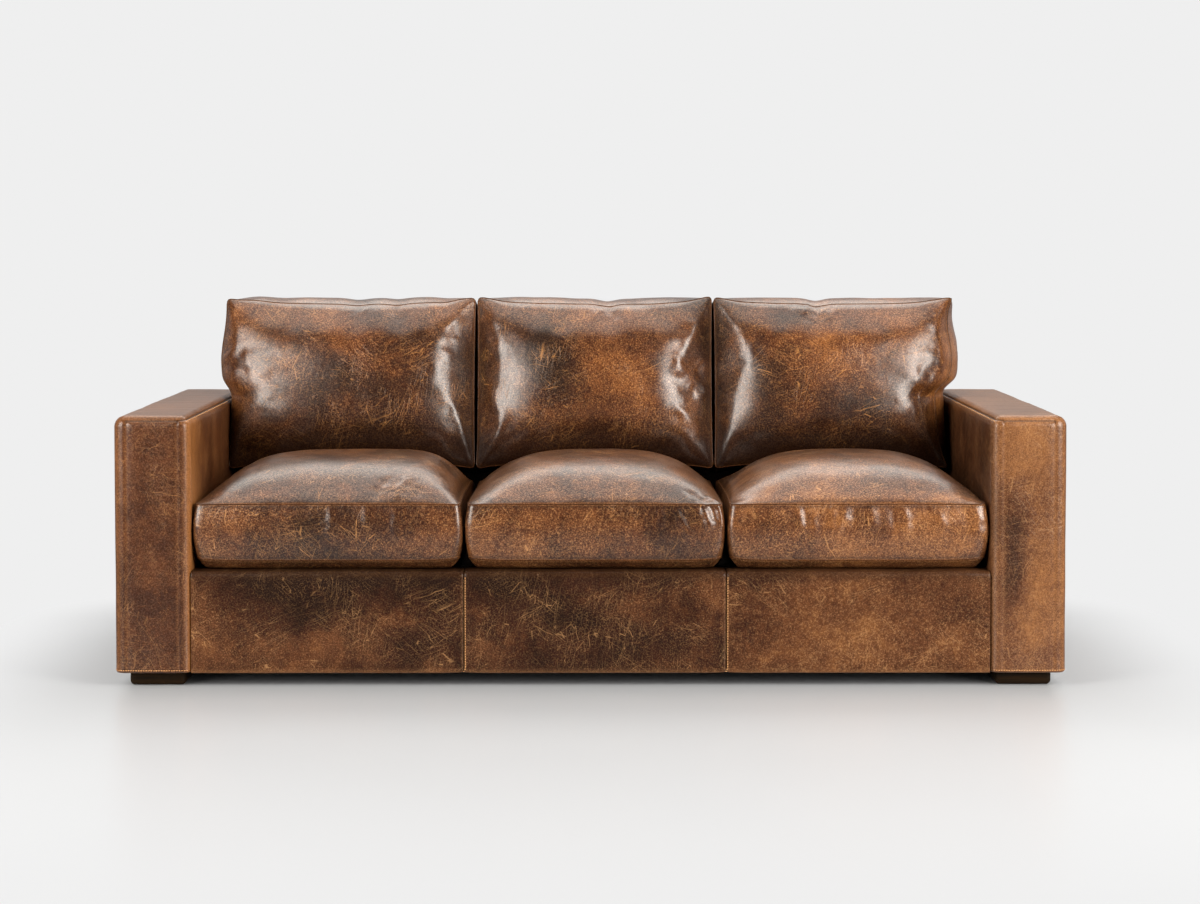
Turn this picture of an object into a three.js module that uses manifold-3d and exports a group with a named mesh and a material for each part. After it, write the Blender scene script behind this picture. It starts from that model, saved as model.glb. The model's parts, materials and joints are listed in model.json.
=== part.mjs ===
// A worn three-seat leather sofa, built from separate pieces as it comes apart on an upholsterer's bench.
// Units are millimetres. +X is the sitter's left, -Y is the front, +Z is up.
// The origin is on the floor, under the middle of the sofa.
import * as THREE from "three";
import { RoundedBoxGeometry } from "three/addons/geometries/RoundedBoxGeometry.js";
import { mergeVertices } from "three/addons/utils/BufferGeometryUtils.js";
import Module from "manifold-3d";

const wasm = await Module();
wasm.setup();

// ---- Driving dimensions -------------------------------------------------------------------------
const WIDTH = 2240; // outside the arms
const DEPTH = 960; // front of the arms to the outside back
const ARM_WIDTH = 175;
const ARM_TOP = 640;
const ARM_EDGE_RADIUS = 24;
const HEM = 35; // height of the leather's lower edge, and of the wooden feet under it
const DECK = 270; // top of the deck that the seat cushions lie on
const BACK_TOP = 765; // top of the fixed back, hidden behind the loose cushions
const BACK_LEAN = THREE.MathUtils.degToRad(11.2); // lean of the back cushions and of the back's front
const LEATHER = 2;
const PADDING = 14;
const GAP = 0.3; // clearance between pieces that touch

// The two seat divisions. The left seat is a little wider than the other two.
const SEAT_DIVISIONS = [-300, 320];

// ---- Derived planes -----------------------------------------------------------------------------
const FRONT = -DEPTH / 2;
const REAR = DEPTH / 2;
const OUTER = WIDTH / 2;
const INNER = OUTER - ARM_WIDTH; // the arm's inside face
const BASE_FRONT = FRONT + 10; // the base sits a little behind the arms
const BASE_TOP = DECK + 3;
const FRAME_BOTTOM = HEM + GAP;
const SPAN = INNER - 1.5; // half width of everything that is held between the arms

// ---- Materials ----------------------------------------------------------------------------------
const material = (color, roughness, metalness = 0) =>
  new THREE.MeshStandardMaterial({ color, roughness, metalness });
const materials = {
  leather: material(0x6e4228, 0.42),
  cushionLeather: material(0x7a4a2b, 0.36),
  wood: material(0xc9a878, 0.75),
  plywood: material(0xb99768, 0.8),
  footWood: material(0x2a1b0e, 0.5),
  foam: material(0xe4ddcb, 0.95),
  webbing: material(0x3a3a38, 0.9),
  cambric: material(0x17171a, 0.95),
};

const sofa = new THREE.Group();
sofa.name = "worn_leather_sofa";

function addPiece(name, geometry, pieceMaterial, parent = sofa) {
  const mesh = new THREE.Mesh(geometry, pieceMaterial);
  mesh.name = name;
  parent.add(mesh);
  return mesh;
}

// ---- Geometry helpers ---------------------------------------------------------------------------
function boxBetween([x0, y0, z0], [x1, y1, z1]) {
  const geometry = new THREE.BoxGeometry(x1 - x0, y1 - y0, z1 - z0);
  return geometry.translate((x0 + x1) / 2, (y0 + y1) / 2, (z0 + z1) / 2);
}

function roundedBoxBetween([x0, y0, z0], [x1, y1, z1], radius, segments = 2) {
  const geometry = new RoundedBoxGeometry(x1 - x0, y1 - y0, z1 - z0, segments, radius);
  return geometry.translate((x0 + x1) / 2, (y0 + y1) / 2, (z0 + z1) / 2);
}

function solidFrom(geometry) {
  const bare = (geometry.index ? geometry.toNonIndexed() : geometry.clone());
  bare.deleteAttribute("normal");
  bare.deleteAttribute("uv");
  const merged = mergeVertices(bare, 1e-3);
  return new wasm.Manifold(
    new wasm.Mesh({
      numProp: 3,
      vertProperties: new Float32Array(merged.attributes.position.array),
      triVerts: new Uint32Array(merged.index.array),
    }),
  );
}

function geometryFrom(solid) {
  const mesh = solid.getMesh();
  const geometry = new THREE.BufferGeometry();
  geometry.setAttribute("position", new THREE.BufferAttribute(mesh.vertProperties, mesh.numProp));
  geometry.setIndex(new THREE.BufferAttribute(mesh.triVerts, 1));
  geometry.computeVertexNormals();
  return geometry;
}

// A closed outline in the YZ plane, extruded along X from x0 to x1.
function extrudeAlongX(outline, x0, x1) {
  const shape = new THREE.Shape(outline.map(([y, z]) => new THREE.Vector2(y, z)));
  const geometry = new THREE.ExtrudeGeometry(shape, { depth: x1 - x0, bevelEnabled: false });
  const swap = new THREE.Matrix4().makeBasis(
    new THREE.Vector3(0, 1, 0),
    new THREE.Vector3(0, 0, 1),
    new THREE.Vector3(1, 0, 0),
  );
  return geometry.applyMatrix4(swap).translate(x0, 0, 0);
}

// Points of an arc, for outlines in the YZ plane.
function arc(centreY, centreZ, radius, fromDeg, toDeg, steps = 4) {
  return Array.from({ length: steps + 1 }, (_, i) => {
    const angle = THREE.MathUtils.degToRad(fromDeg + ((toDeg - fromDeg) * i) / steps);
    return [centreY + radius * Math.cos(angle), centreZ + radius * Math.sin(angle)];
  });
}

// ---- Arms ---------------------------------------------------------------------------------------
// Every arm is drawn for the +X side and mirrored for the other one.
const SEAM_INSET = 20; // the front panel's seams lie this far inside the arm's outline
const INNER_SEAM_INSET = 8; // the inside panel's top seam runs along the middle of the rounded edge

function armBlock(inset, bottom) {
  return solidFrom(
    roundedBoxBetween(
      [INNER + inset, FRONT + inset, bottom - ARM_EDGE_RADIUS * 2],
      [OUTER - inset, REAR - inset, ARM_TOP - inset],
      Math.max(ARM_EDGE_RADIUS - inset, 4),
    ),
  );
}

// Everything above the hem that lies inside one block and outside the other.
function armShell(outside, inside) {
  const far = OUTER * 2;
  const above = solidFrom(boxBetween([-far, -far, HEM], [far, far, far]));
  return outside.subtract(inside).intersect(above);
}

function armLeather() {
  const shell = armShell(armBlock(0, 0), armBlock(LEATHER, -200));
  const far = OUTER * 2;
  const seamZ = ARM_TOP - SEAM_INSET;
  const innerSeamX = INNER + INNER_SEAM_INSET;
  const innerSeamZ = ARM_TOP - INNER_SEAM_INSET;
  const frontZone = (grow) => solidFrom(boxBetween(
    [INNER + SEAM_INSET - grow, FRONT - 1, 0],
    [OUTER - SEAM_INSET + grow, FRONT + ARM_EDGE_RADIUS, seamZ + grow],
  ));
  const insideZone = (grow) => solidFrom(boxBetween(
    [INNER - 1, -far, 0],
    [innerSeamX + grow, far, innerSeamZ + grow],
  )).add(solidFrom(boxBetween(
    [INNER - 1, FRONT - 1, 0],
    [INNER + SEAM_INSET - GAP, FRONT + ARM_EDGE_RADIUS / 2, innerSeamZ + grow],
  )));
  const front = shell.intersect(frontZone(0));
  const inside = shell.intersect(insideZone(0)).subtract(frontZone(GAP));
  const wrap = shell.subtract(frontZone(GAP)).subtract(insideZone(GAP));
  return { front, inside, wrap };
}

// The padding is glued to the square boards, and its outside takes the leather's round edges.
function armPadding() {
  const inset = LEATHER + GAP + PADDING;
  const boards = boxBetween(
    [INNER + inset, FRONT + inset, -200],
    [OUTER - inset, REAR - inset, ARM_TOP - inset],
  );
  return armShell(armBlock(LEATHER + GAP, 0), solidFrom(boards));
}

function armBoards() {
  const inset = LEATHER + PADDING + 2 * GAP;
  const x0 = INNER + inset;
  const x1 = OUTER - inset;
  const y0 = FRONT + inset;
  const y1 = REAR - inset;
  const top = ARM_TOP - inset;
  const board = 18;
  const innerBoard = 12;
  const outerBoard = 9;
  const sill = 42;
  const betweenY = [y0 + board + GAP, y1 - board - GAP];
  const underTop = top - board - GAP;
  return {
    front_board: boxBetween([x0, y0, FRAME_BOTTOM], [x1, y0 + board, top]),
    rear_board: boxBetween([x0, y1 - board, FRAME_BOTTOM], [x1, y1, top]),
    top_board: boxBetween([x0, betweenY[0], top - board], [x1, betweenY[1], top]),
    inner_board: boxBetween([x0, betweenY[0], FRAME_BOTTOM], [x0 + innerBoard, betweenY[1], underTop]),
    outer_board: boxBetween([x1 - outerBoard, betweenY[0], FRAME_BOTTOM], [x1, betweenY[1], underTop]),
    sill: boxBetween(
      [x0 + innerBoard + GAP, betweenY[0], FRAME_BOTTOM],
      [x1 - outerBoard - GAP, betweenY[1], FRAME_BOTTOM + sill],
    ),
  };
}

function addArm(side, mirror) {
  const arm = new THREE.Group();
  arm.scale.x = mirror;
  sofa.add(arm);
  const leather = armLeather();
  addPiece(`arm_front_leather_${side}`, geometryFrom(leather.front), materials.leather, arm);
  addPiece(`arm_inside_leather_${side}`, geometryFrom(leather.inside), materials.leather, arm);
  addPiece(`arm_wrap_leather_${side}`, geometryFrom(leather.wrap), materials.leather, arm);
  addPiece(`arm_padding_${side}`, geometryFrom(armPadding()), materials.foam, arm);
  for (const [name, geometry] of Object.entries(armBoards()))
    addPiece(`arm_${name}_${side}`, geometry, materials.plywood, arm);
}

// ---- Base and seat frame ------------------------------------------------------------------------
const RAIL_FRONT = BASE_FRONT + LEATHER + GAP; // the front rail's face, straight behind the leather
const RAIL_TOP = DECK - 16;
const RAIL_THICKNESS = 32;
const SEAT_BACK_RAIL = 246; // front face of the rail under the back cushions

// The leather of the base goes up the front, over the rail's rounded edge and back under the cushions.
function baseLeatherOutline() {
  const radius = 12;
  const returnTo = BASE_FRONT + 78;
  const centre = [BASE_FRONT + radius, BASE_TOP - radius];
  return [
    [BASE_FRONT, HEM],
    ...arc(...centre, radius, 180, 90),
    [returnTo, BASE_TOP],
    [returnTo, BASE_TOP - LEATHER],
    ...arc(...centre, radius - LEATHER, 90, 180),
    [BASE_FRONT + LEATHER, HEM],
  ];
}

function addBase() {
  const seams = [-SPAN, ...SEAT_DIVISIONS, SPAN];
  ["right", "middle", "left"].forEach((place, i) => {
    const outline = baseLeatherOutline();
    const geometry = extrudeAlongX(outline, seams[i] + GAP / 2, seams[i + 1] - GAP / 2);
    addPiece(`base_leather_${place}`, geometry, materials.leather);
  });

  const railBack = RAIL_FRONT + RAIL_THICKNESS;
  const sideRail = 30;
  const seatRailBottom = 150;
  addPiece("front_rail", boxBetween([-SPAN, RAIL_FRONT, FRAME_BOTTOM], [SPAN, railBack, RAIL_TOP]), materials.wood);
  addPiece(
    "seat_back_rail",
    boxBetween([-SPAN, SEAT_BACK_RAIL, seatRailBottom], [SPAN, SEAT_BACK_RAIL + RAIL_THICKNESS, RAIL_TOP]),
    materials.wood,
  );
  const between = [railBack + GAP, SEAT_BACK_RAIL - GAP];
  for (const [side, x] of [["right", -SPAN], ["left", SPAN - sideRail]])
    addPiece(
      `side_rail_${side}`,
      boxBetween([x, between[0], seatRailBottom], [x + sideRail, between[1], RAIL_TOP]),
      materials.wood,
    );
  const stretcherTop = RAIL_TOP - 40; // low enough for the webbing to give above it
  SEAT_DIVISIONS.forEach((x, i) =>
    addPiece(
      `seat_stretcher_${i + 1}`,
      boxBetween([x - sideRail / 2, between[0], 90], [x + sideRail / 2, between[1], stretcherTop]),
      materials.wood,
    ));
}

// Elastic webbing, stapled over the front rail and the seat's back rail.
const STRAPS = 10;
const STRAP_WIDTH = 90;
const STRAP_THICKNESS = 2;

function addWebbing() {
  const pitch = (2 * SPAN) / STRAPS;
  for (let i = 0; i < STRAPS; i++) {
    const x = -SPAN + pitch * (i + 0.5);
    const z = RAIL_TOP + GAP;
    const geometry = boxBetween(
      [x - STRAP_WIDTH / 2, RAIL_FRONT + 4, z],
      [x + STRAP_WIDTH / 2, SEAT_BACK_RAIL + RAIL_THICKNESS, z + STRAP_THICKNESS],
    );
    addPiece(`seat_webbing_${String(i + 1).padStart(2, "0")}`, geometry, materials.webbing);
  }
  const padFront = BASE_FRONT + 78 + GAP;
  addPiece(
    "deck_pad",
    boxBetween(
      [-SPAN, padFront, RAIL_TOP + 2 * GAP + STRAP_THICKNESS],
      [SPAN, SEAT_BACK_RAIL + RAIL_THICKNESS - 20, DECK],
    ),
    materials.foam,
  );
}

// ---- Back ---------------------------------------------------------------------------------------
const BACK_PADDING = 16;
const BACK_FRONT_AT_DECK = 268; // Y of the back's covered front where it meets the deck
const POST_WIDTH = 34;
const BACK_SPAN = SPAN - LEATHER; // half width inside the cover's closed ends
const backFrontY = (z) => BACK_FRONT_AT_DECK + (z - DECK) * Math.tan(BACK_LEAN);

function slopedLayer(near, far, bottom, top) {
  return [
    [backFrontY(bottom) + near, bottom],
    [backFrontY(bottom) + far, bottom],
    [backFrontY(top) + far, top],
    [backFrontY(top) + near, top],
  ];
}

// The inside cover goes up the sloped front, over the top with round edges, and down to the rear seam.
// It closes the back's two ends as well, and is open at the bottom and, below the seam, at the rear.
function backInsideCover() {
  const radius = 16;
  const under = BACK_TOP - radius;
  const seam = under - 10;
  const bottom = DECK + 20;
  const frontCentre = [backFrontY(under) + radius, under];
  const rearCentre = [REAR - radius, under];
  const over = (r) => [...arc(...frontCentre, r, 160, 90), ...arc(...rearCentre, r, 90, 0)];
  const outside = [
    [backFrontY(bottom), bottom],
    [backFrontY(under), under],
    ...over(radius),
    [REAR, seam],
    [REAR - LEATHER - GAP, seam],
    [REAR - LEATHER - GAP, bottom],
  ];
  const inside = [
    [backFrontY(bottom - 9) + LEATHER, bottom - 9],
    [backFrontY(under) + LEATHER, under],
    ...over(radius - LEATHER),
    [REAR - LEATHER, seam - 1],
    [REAR + 9, seam - 1],
    [REAR + 9, bottom - 9],
  ];
  const block = solidFrom(extrudeAlongX(outside, -SPAN, SPAN));
  return geometryFrom(block.subtract(solidFrom(extrudeAlongX(inside, -BACK_SPAN, BACK_SPAN))));
}

function addBack() {
  const layerTop = BACK_TOP - 46;
  const railZ = [BACK_TOP - 34, BACK_TOP - LEATHER - 2 * GAP - 8];
  const rearInside = REAR - LEATHER - GAP;
  const lowerRail = 24;
  const paddingFar = LEATHER + GAP + BACK_PADDING;
  const postFront = paddingFar + GAP;
  const postRear = rearInside - lowerRail - GAP;

  const end = BACK_SPAN - GAP;

  addPiece("back_inside_cover", backInsideCover(), materials.leather);
  const outsideTop = BACK_TOP - 16 - 10 - GAP;
  addPiece(
    "back_outside_leather",
    boxBetween([-SPAN, REAR - LEATHER, HEM], [SPAN, REAR, outsideTop]),
    materials.leather,
  );
  addPiece(
    "back_padding",
    extrudeAlongX(slopedLayer(LEATHER + GAP, paddingFar, DECK + 20, layerTop), -end, end),
    materials.foam,
  );

  const postFoot = SEAT_BACK_RAIL + RAIL_THICKNESS + GAP;
  const postTop = railZ[0] - GAP;
  const postOutline = [
    [postFoot, FRAME_BOTTOM],
    [postRear, FRAME_BOTTOM],
    [postRear, postTop],
    [backFrontY(layerTop) + postFront, postTop],
    [backFrontY(layerTop) + postFront, layerTop],
    [backFrontY(DECK + 20) + postFront, DECK + 20],
    [postFoot, RAIL_TOP],
  ];
  const postX = { right: -end, centre: -POST_WIDTH / 2, left: end - POST_WIDTH };
  for (const [place, x] of Object.entries(postX))
    addPiece(`back_post_${place}`, extrudeAlongX(postOutline, x, x + POST_WIDTH), materials.wood);

  const railFront = backFrontY(layerTop) + postFront;
  addPiece(
    "back_top_rail",
    boxBetween([-end, railFront, railZ[0]], [end, postRear, railZ[1]]),
    materials.wood,
  );
  addPiece(
    "back_lower_rail",
    boxBetween([-SPAN, postRear + GAP, FRAME_BOTTOM], [SPAN, rearInside, FRAME_BOTTOM + 110]),
    materials.wood,
  );
}

// ---- Feet and dust cover ------------------------------------------------------------------------
const FOOT = 132; // side of each square foot
const FOOT_EDGE = 8;
const DUST_COVER = 1.2;

function footGeometry(height) {
  const half = FOOT / 2 - FOOT_EDGE;
  const corner = 8;
  const shape = new THREE.Shape();
  shape.moveTo(-half + corner, -half);
  shape.lineTo(half - corner, -half);
  shape.absarc(half - corner, -half + corner, corner, -Math.PI / 2, 0);
  shape.absarc(half - corner, half - corner, corner, 0, Math.PI / 2);
  shape.absarc(-half + corner, half - corner, corner, Math.PI / 2, Math.PI);
  shape.absarc(-half + corner, -half + corner, corner, Math.PI, 1.5 * Math.PI);
  const geometry = new THREE.ExtrudeGeometry(shape, {
    depth: height - 2 * FOOT_EDGE,
    bevelSize: FOOT_EDGE,
    bevelThickness: FOOT_EDGE,
    bevelSegments: 2,
    curveSegments: 3,
  });
  return geometry.translate(0, 0, FOOT_EDGE);
}

function addFeet() {
  const top = HEM - DUST_COVER - 2 * GAP;
  const x = OUTER - 27 - FOOT / 2;
  const y = REAR - 34 - FOOT / 2;
  for (const [depthName, sign] of [["front", -1], ["rear", 1]])
    for (const [side, mirror] of [["right", -1], ["left", 1]]) {
      const foot = addPiece(`foot_${depthName}_${side}`, footGeometry(top), materials.footWood);
      foot.position.set(mirror * x, sign * y, 0);
    }
  const inset = 8;
  addPiece(
    "dust_cover",
    boxBetween([-OUTER + inset, FRONT + inset + 10, HEM - GAP - DUST_COVER], [OUTER - inset, REAR - inset, HEM - GAP]),
    materials.cambric,
  );
}

// ---- Loose cushions -----------------------------------------------------------------------------
// A stuffed box cushion: a subdivided box whose panels crown, whose sides pull in between the corners
// and whose border bulges. u, v and w run from -1 to 1 over the width, the depth and the thickness.
function cushionGeometry({ size, segments, crown, pullIn, bulge }) {
  const geometry = new THREE.BoxGeometry(...size, ...segments);
  const position = geometry.attributes.position;
  const half = size.map((s) => s / 2);
  for (let i = 0; i < position.count; i++) {
    const u = position.getX(i) / half[0];
    const v = position.getY(i) / half[1];
    const w = position.getZ(i) / half[2];
    const along = (a) => 1 - a * a;
    const moved = {
      x: u * (half[0] - pullIn * along(v) + bulge(u, v, w).x * along(w)),
      y: v * (half[1] - pullIn * along(u) + bulge(u, v, w).y * along(w)),
      z: w * half[2] + crown(u, v, w),
    };
    position.setXYZ(i, moved.x, moved.y, moved.z);
  }
  return geometry;
}

const SEAT_BAND = 134; // height of a seat cushion's sewn border
const SEAT_LOW_SEAM = 298;
const SEAT_FRONT = FRONT + 8;
const SEAT_REAR = BACK_FRONT_AT_DECK - 4;
const SEAT_CROWN = 93;
const CUSHION_GAP = 5;

// The crown is highest in front of the middle, and pressed down at the rear by the back cushion.
function seatCrown(u, v, w) {
  const across = 1 - Math.abs(u) ** 2.3;
  if (w === 1) {
    const along = v < 0 ? 1 - Math.abs(v) ** 2.3 : Math.cos((v * Math.PI) / 2) ** 1.5;
    return SEAT_CROWN * across * along;
  }
  const flat = Math.min(1, 1.8 * (1 - u * u) * (1 - v * v));
  return w === -1 ? -(SEAT_LOW_SEAM - DECK - 4) * flat : 0;
}

function seatCushion(x0, x1) {
  const bulge = 5;
  const geometry = cushionGeometry({
    size: [x1 - x0 - CUSHION_GAP - 2 * bulge, SEAT_REAR - SEAT_FRONT - 2 * bulge, SEAT_BAND],
    segments: [8, 10, 2],
    crown: seatCrown,
    pullIn: 3,
    bulge: () => ({ x: bulge, y: bulge }),
  });
  return geometry.translate(
    (x0 + x1) / 2,
    (SEAT_FRONT + SEAT_REAR) / 2,
    SEAT_LOW_SEAM + SEAT_BAND / 2,
  );
}

// The back cushion is drawn lying on its back panel, front up: x is its width, y its height (the top
// is at +y) and z its thickness. It is then stood up and leaned against the back.
const BACK_CUSHION_HEIGHT = 436;
const BACK_CUSHION_BAND = 150;
const BACK_CUSHION_FRONT = 48; // crown of the panel that is leaned against
const BACK_CUSHION_REAR = 12;
const BACK_CUSHION_AT = { y: 252, z: 663 }; // centre of the sewn border

function backCrown(u, v, w) {
  const across = (1 - Math.abs(u) ** 2.4) * (1 - Math.abs(v) ** 2.4);
  if (w === 1) return BACK_CUSHION_FRONT * across;
  return w === -1 ? -BACK_CUSHION_REAR * Math.min(1, 1.5 * across) : 0;
}

function backCushion(x0, x1) {
  const sideBulge = 5;
  const topBulge = 20;
  const bottomHollow = -16; // the bottom border follows the seat's crown
  return cushionGeometry({
    size: [x1 - x0 - CUSHION_GAP - 2 * sideBulge, BACK_CUSHION_HEIGHT, BACK_CUSHION_BAND],
    segments: [8, 8, 2],
    crown: backCrown,
    pullIn: 3,
    bulge: (u, v) => ({ x: sideBulge, y: (v > 0 ? topBulge : bottomHollow) * (1 - u * u) }),
  });
}

function addCushions() {
  const seams = [-SPAN, ...SEAT_DIVISIONS, SPAN];
  ["right", "middle", "left"].forEach((place, i) => {
    const [x0, x1] = [seams[i], seams[i + 1]];
    addPiece(`seat_cushion_${place}`, seatCushion(x0, x1), materials.cushionLeather);
    const back = addPiece(`back_cushion_${place}`, backCushion(x0, x1), materials.cushionLeather);
    back.position.set((x0 + x1) / 2, BACK_CUSHION_AT.y, BACK_CUSHION_AT.z);
    back.rotation.x = Math.PI / 2 - BACK_LEAN;
  });
}

addArm("left", 1);
addArm("right", -1);
addBase();
addWebbing();
addBack();
addFeet();
addCushions();

export default sofa;
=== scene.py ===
# A worn three-seat leather sofa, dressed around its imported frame. Metres, in the frame's own axes.
import json
import math

import bpy
import numpy as np
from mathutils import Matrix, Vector


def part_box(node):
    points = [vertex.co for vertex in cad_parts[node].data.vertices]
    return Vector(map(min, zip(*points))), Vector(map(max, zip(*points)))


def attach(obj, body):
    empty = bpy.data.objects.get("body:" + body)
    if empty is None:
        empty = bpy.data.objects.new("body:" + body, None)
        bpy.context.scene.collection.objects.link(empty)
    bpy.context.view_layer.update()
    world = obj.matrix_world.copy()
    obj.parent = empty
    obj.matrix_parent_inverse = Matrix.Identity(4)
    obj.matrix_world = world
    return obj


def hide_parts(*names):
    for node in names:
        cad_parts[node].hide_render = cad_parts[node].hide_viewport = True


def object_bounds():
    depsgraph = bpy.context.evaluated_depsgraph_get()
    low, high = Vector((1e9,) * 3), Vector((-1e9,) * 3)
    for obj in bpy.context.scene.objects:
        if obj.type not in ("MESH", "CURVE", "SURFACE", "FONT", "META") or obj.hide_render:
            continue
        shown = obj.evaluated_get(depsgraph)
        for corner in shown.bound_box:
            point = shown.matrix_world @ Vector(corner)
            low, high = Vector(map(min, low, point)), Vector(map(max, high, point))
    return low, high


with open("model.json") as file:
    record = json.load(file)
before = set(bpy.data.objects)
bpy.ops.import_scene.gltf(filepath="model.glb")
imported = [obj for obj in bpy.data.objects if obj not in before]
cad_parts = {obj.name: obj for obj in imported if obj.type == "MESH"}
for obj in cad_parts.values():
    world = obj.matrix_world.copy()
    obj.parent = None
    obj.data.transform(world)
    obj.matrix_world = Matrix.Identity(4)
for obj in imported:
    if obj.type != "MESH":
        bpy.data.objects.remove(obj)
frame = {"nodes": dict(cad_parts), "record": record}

CAD_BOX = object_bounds()
MM = 0.001
# A lattice value this close to -1 or 1 lies on that side.
NEAR = 1e-5
SIDES = ("right", "middle", "left")

# ---- Camera -------------------------------------------------------------------------------------
CAMERA_AT = (0.003, -6.242, 1.093)
PITCH, YAW = math.radians(2.25), math.radians(-0.186)
SENSOR, LENS, SHIFT = 36.0, 73.76, -0.1095


def make_camera():
    data = bpy.data.cameras.new("camera")
    data.sensor_width, data.lens, data.shift_y = SENSOR, LENS, SHIFT
    data.clip_start, data.clip_end = 0.1, 200.0
    camera = bpy.data.objects.new("camera", data)
    camera.location = CAMERA_AT
    camera.rotation_euler = (math.pi / 2 - PITCH, 0.0, YAW)
    bpy.context.scene.collection.objects.link(camera)
    bpy.context.scene.camera = camera


# ---- Numbers ------------------------------------------------------------------------------------
class Noise:
    """Gradient noise of about -1 to 1, the same for a given seed."""

    def __init__(self, seed):
        rng = np.random.default_rng(seed)
        self.order = rng.permutation(256)
        self.slopes = unit(rng.normal(size=(256, 3)))

    def __call__(self, points, octaves=1):
        total, strength = 0.0, 1.0
        for k in range(octaves):
            total = total + strength * self.layer(points * 2.0**k + 17.3 * k)
            strength *= 0.5
        return total

    def layer(self, points):
        cell = np.floor(points).astype(int)
        inside = points - cell
        ease = inside**3 * (inside * (inside * 6 - 15) + 10)
        total = np.zeros(len(points))
        for corner in np.ndindex(2, 2, 2):
            key = np.zeros(len(points), int)
            for axis in range(3):
                key = self.order[(key + cell[:, axis] + corner[axis]) & 255]
            slope = (self.slopes[key] * (inside - corner)).sum(1)
            for axis in range(3):
                slope = slope * (ease[:, axis] if corner[axis] else 1 - ease[:, axis])
            total += slope
        return total * 1.6


def unit(vectors):
    return vectors / np.maximum(np.linalg.norm(vectors, axis=-1, keepdims=True), 1e-12)


def smoothstep(x, low, high):
    t = np.clip((x - low) / (high - low), 0, 1)
    return t * t * (3 - 2 * t)


def bell(x, width):
    """1 at zero, and falling away past the width."""
    return np.exp(-((x / width) ** 2))


def rise(x, width):
    """0 at zero, and close to 1 well past the width."""
    return 1 - np.exp(-x / width)


def distance_along(path):
    steps = np.linalg.norm(np.diff(path, axis=0), axis=1)
    return np.concatenate([[0], np.cumsum(steps)])


def interpolate(at, along, values):
    return np.stack([np.interp(at, along, values[:, k]) for k in range(3)], axis=-1)


def segment_distance(points, segments):
    """Each point's distance to the nearest of some straight segments."""
    best = np.full(len(points), np.inf)
    for start, end in segments:
        start, end = np.array(start, float), np.array(end, float)
        along = end - start
        share = np.clip(((points - start) @ along) / (along @ along), 0, 1)
        gap = np.linalg.norm(points - (start + share[:, None] * along), axis=1)
        best = np.minimum(best, gap)
    return best


# ---- Mesh helpers -------------------------------------------------------------------------------
def make_object(name, points, faces, material, **attributes):
    mesh = bpy.data.meshes.new(name)
    mesh.from_pydata([tuple(p) for p in points], [], [tuple(f) for f in faces])
    mesh.update()
    mesh.polygons.foreach_set("use_smooth", [True] * len(mesh.polygons))
    mesh.materials.append(material)
    set_attributes(mesh, **attributes)
    piece = bpy.data.objects.new(name, mesh)
    bpy.context.scene.collection.objects.link(piece)
    return piece


def set_attributes(mesh, **attributes):
    """Writes one number or one vector for each point."""
    for key, values in attributes.items():
        values = np.asarray(values, np.float32)
        kind, field = ("FLOAT", "value") if values.ndim == 1 else ("FLOAT_VECTOR", "vector")
        mesh.attributes.new(key, kind, "POINT").data.foreach_set(field, values.ravel())


def read(items, field):
    """One vector from each item of a mesh."""
    values = np.zeros(len(items) * 3, np.float32)
    items.foreach_get(field, values)
    return values.reshape(-1, 3).astype(float)


def set_points(mesh, points):
    mesh.vertices.foreach_set("co", np.asarray(points, np.float32).ravel())
    mesh.update()


def apply_modifiers(piece):
    """Bakes a piece's modifiers into its mesh."""
    graph = bpy.context.evaluated_depsgraph_get()
    graph.update()
    result = piece.evaluated_get(graph)
    baked = bpy.data.meshes.new_from_object(result, preserve_all_data_layers=True, depsgraph=graph)
    piece.modifiers.clear()
    old, piece.data = piece.data, baked
    name = old.name
    bpy.data.meshes.remove(old)
    baked.name = name


LEATHER_THICK = 2 * MM


def thicken(piece):
    """Gives a leather cover its thickness, inwards from its points."""
    modifier = piece.modifiers.new("thickness", "SOLIDIFY")
    modifier.thickness, modifier.offset = LEATHER_THICK, -1.0
    modifier.use_even_offset = False
    apply_modifiers(piece)


def finish_piece(piece, slot, *nodes):
    """Hangs a piece under the root body, and hides the CAD nodes it stands for. The slot, the finish it
    takes, is not used.
    """
    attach(piece, "root")
    if nodes:
        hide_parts(*nodes)


def box_surface(lines, skip=()):
    """Points and outward quads of a lattice box with these coordinates, without the sides in skip."""
    index, points, quads = {}, [], []

    def vertex(at):
        if at not in index:
            index[at] = len(points)
            points.append([lines[a][at[a]] for a in range(3)])
        return index[at]

    for axis, high in np.ndindex(3, 2):
        if (axis, high) in skip:
            continue
        a, b = (axis + 1) % 3, (axis + 2) % 3
        level = len(lines[axis]) - 1 if high else 0
        for i, j in np.ndindex(len(lines[a]) - 1, len(lines[b]) - 1):
            corner = []
            for di, dj in ((0, 0), (1, 0), (1, 1), (0, 1)):
                at = [0, 0, 0]
                at[axis], at[a], at[b] = level, i + di, j + dj
                corner.append(vertex(tuple(at)))
            quads.append(corner if high else corner[::-1])
    return np.array(points), quads


def grid_quads(columns, rows, flip=False):
    """Quads between points that are stored column by column."""
    quads = []
    for i, j in np.ndindex(columns - 1, rows - 1):
        a, b = i * rows + j, (i + 1) * rows + j
        quads.append((a, a + 1, b + 1, b) if flip else (a, b, b + 1, a + 1))
    return quads


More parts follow.
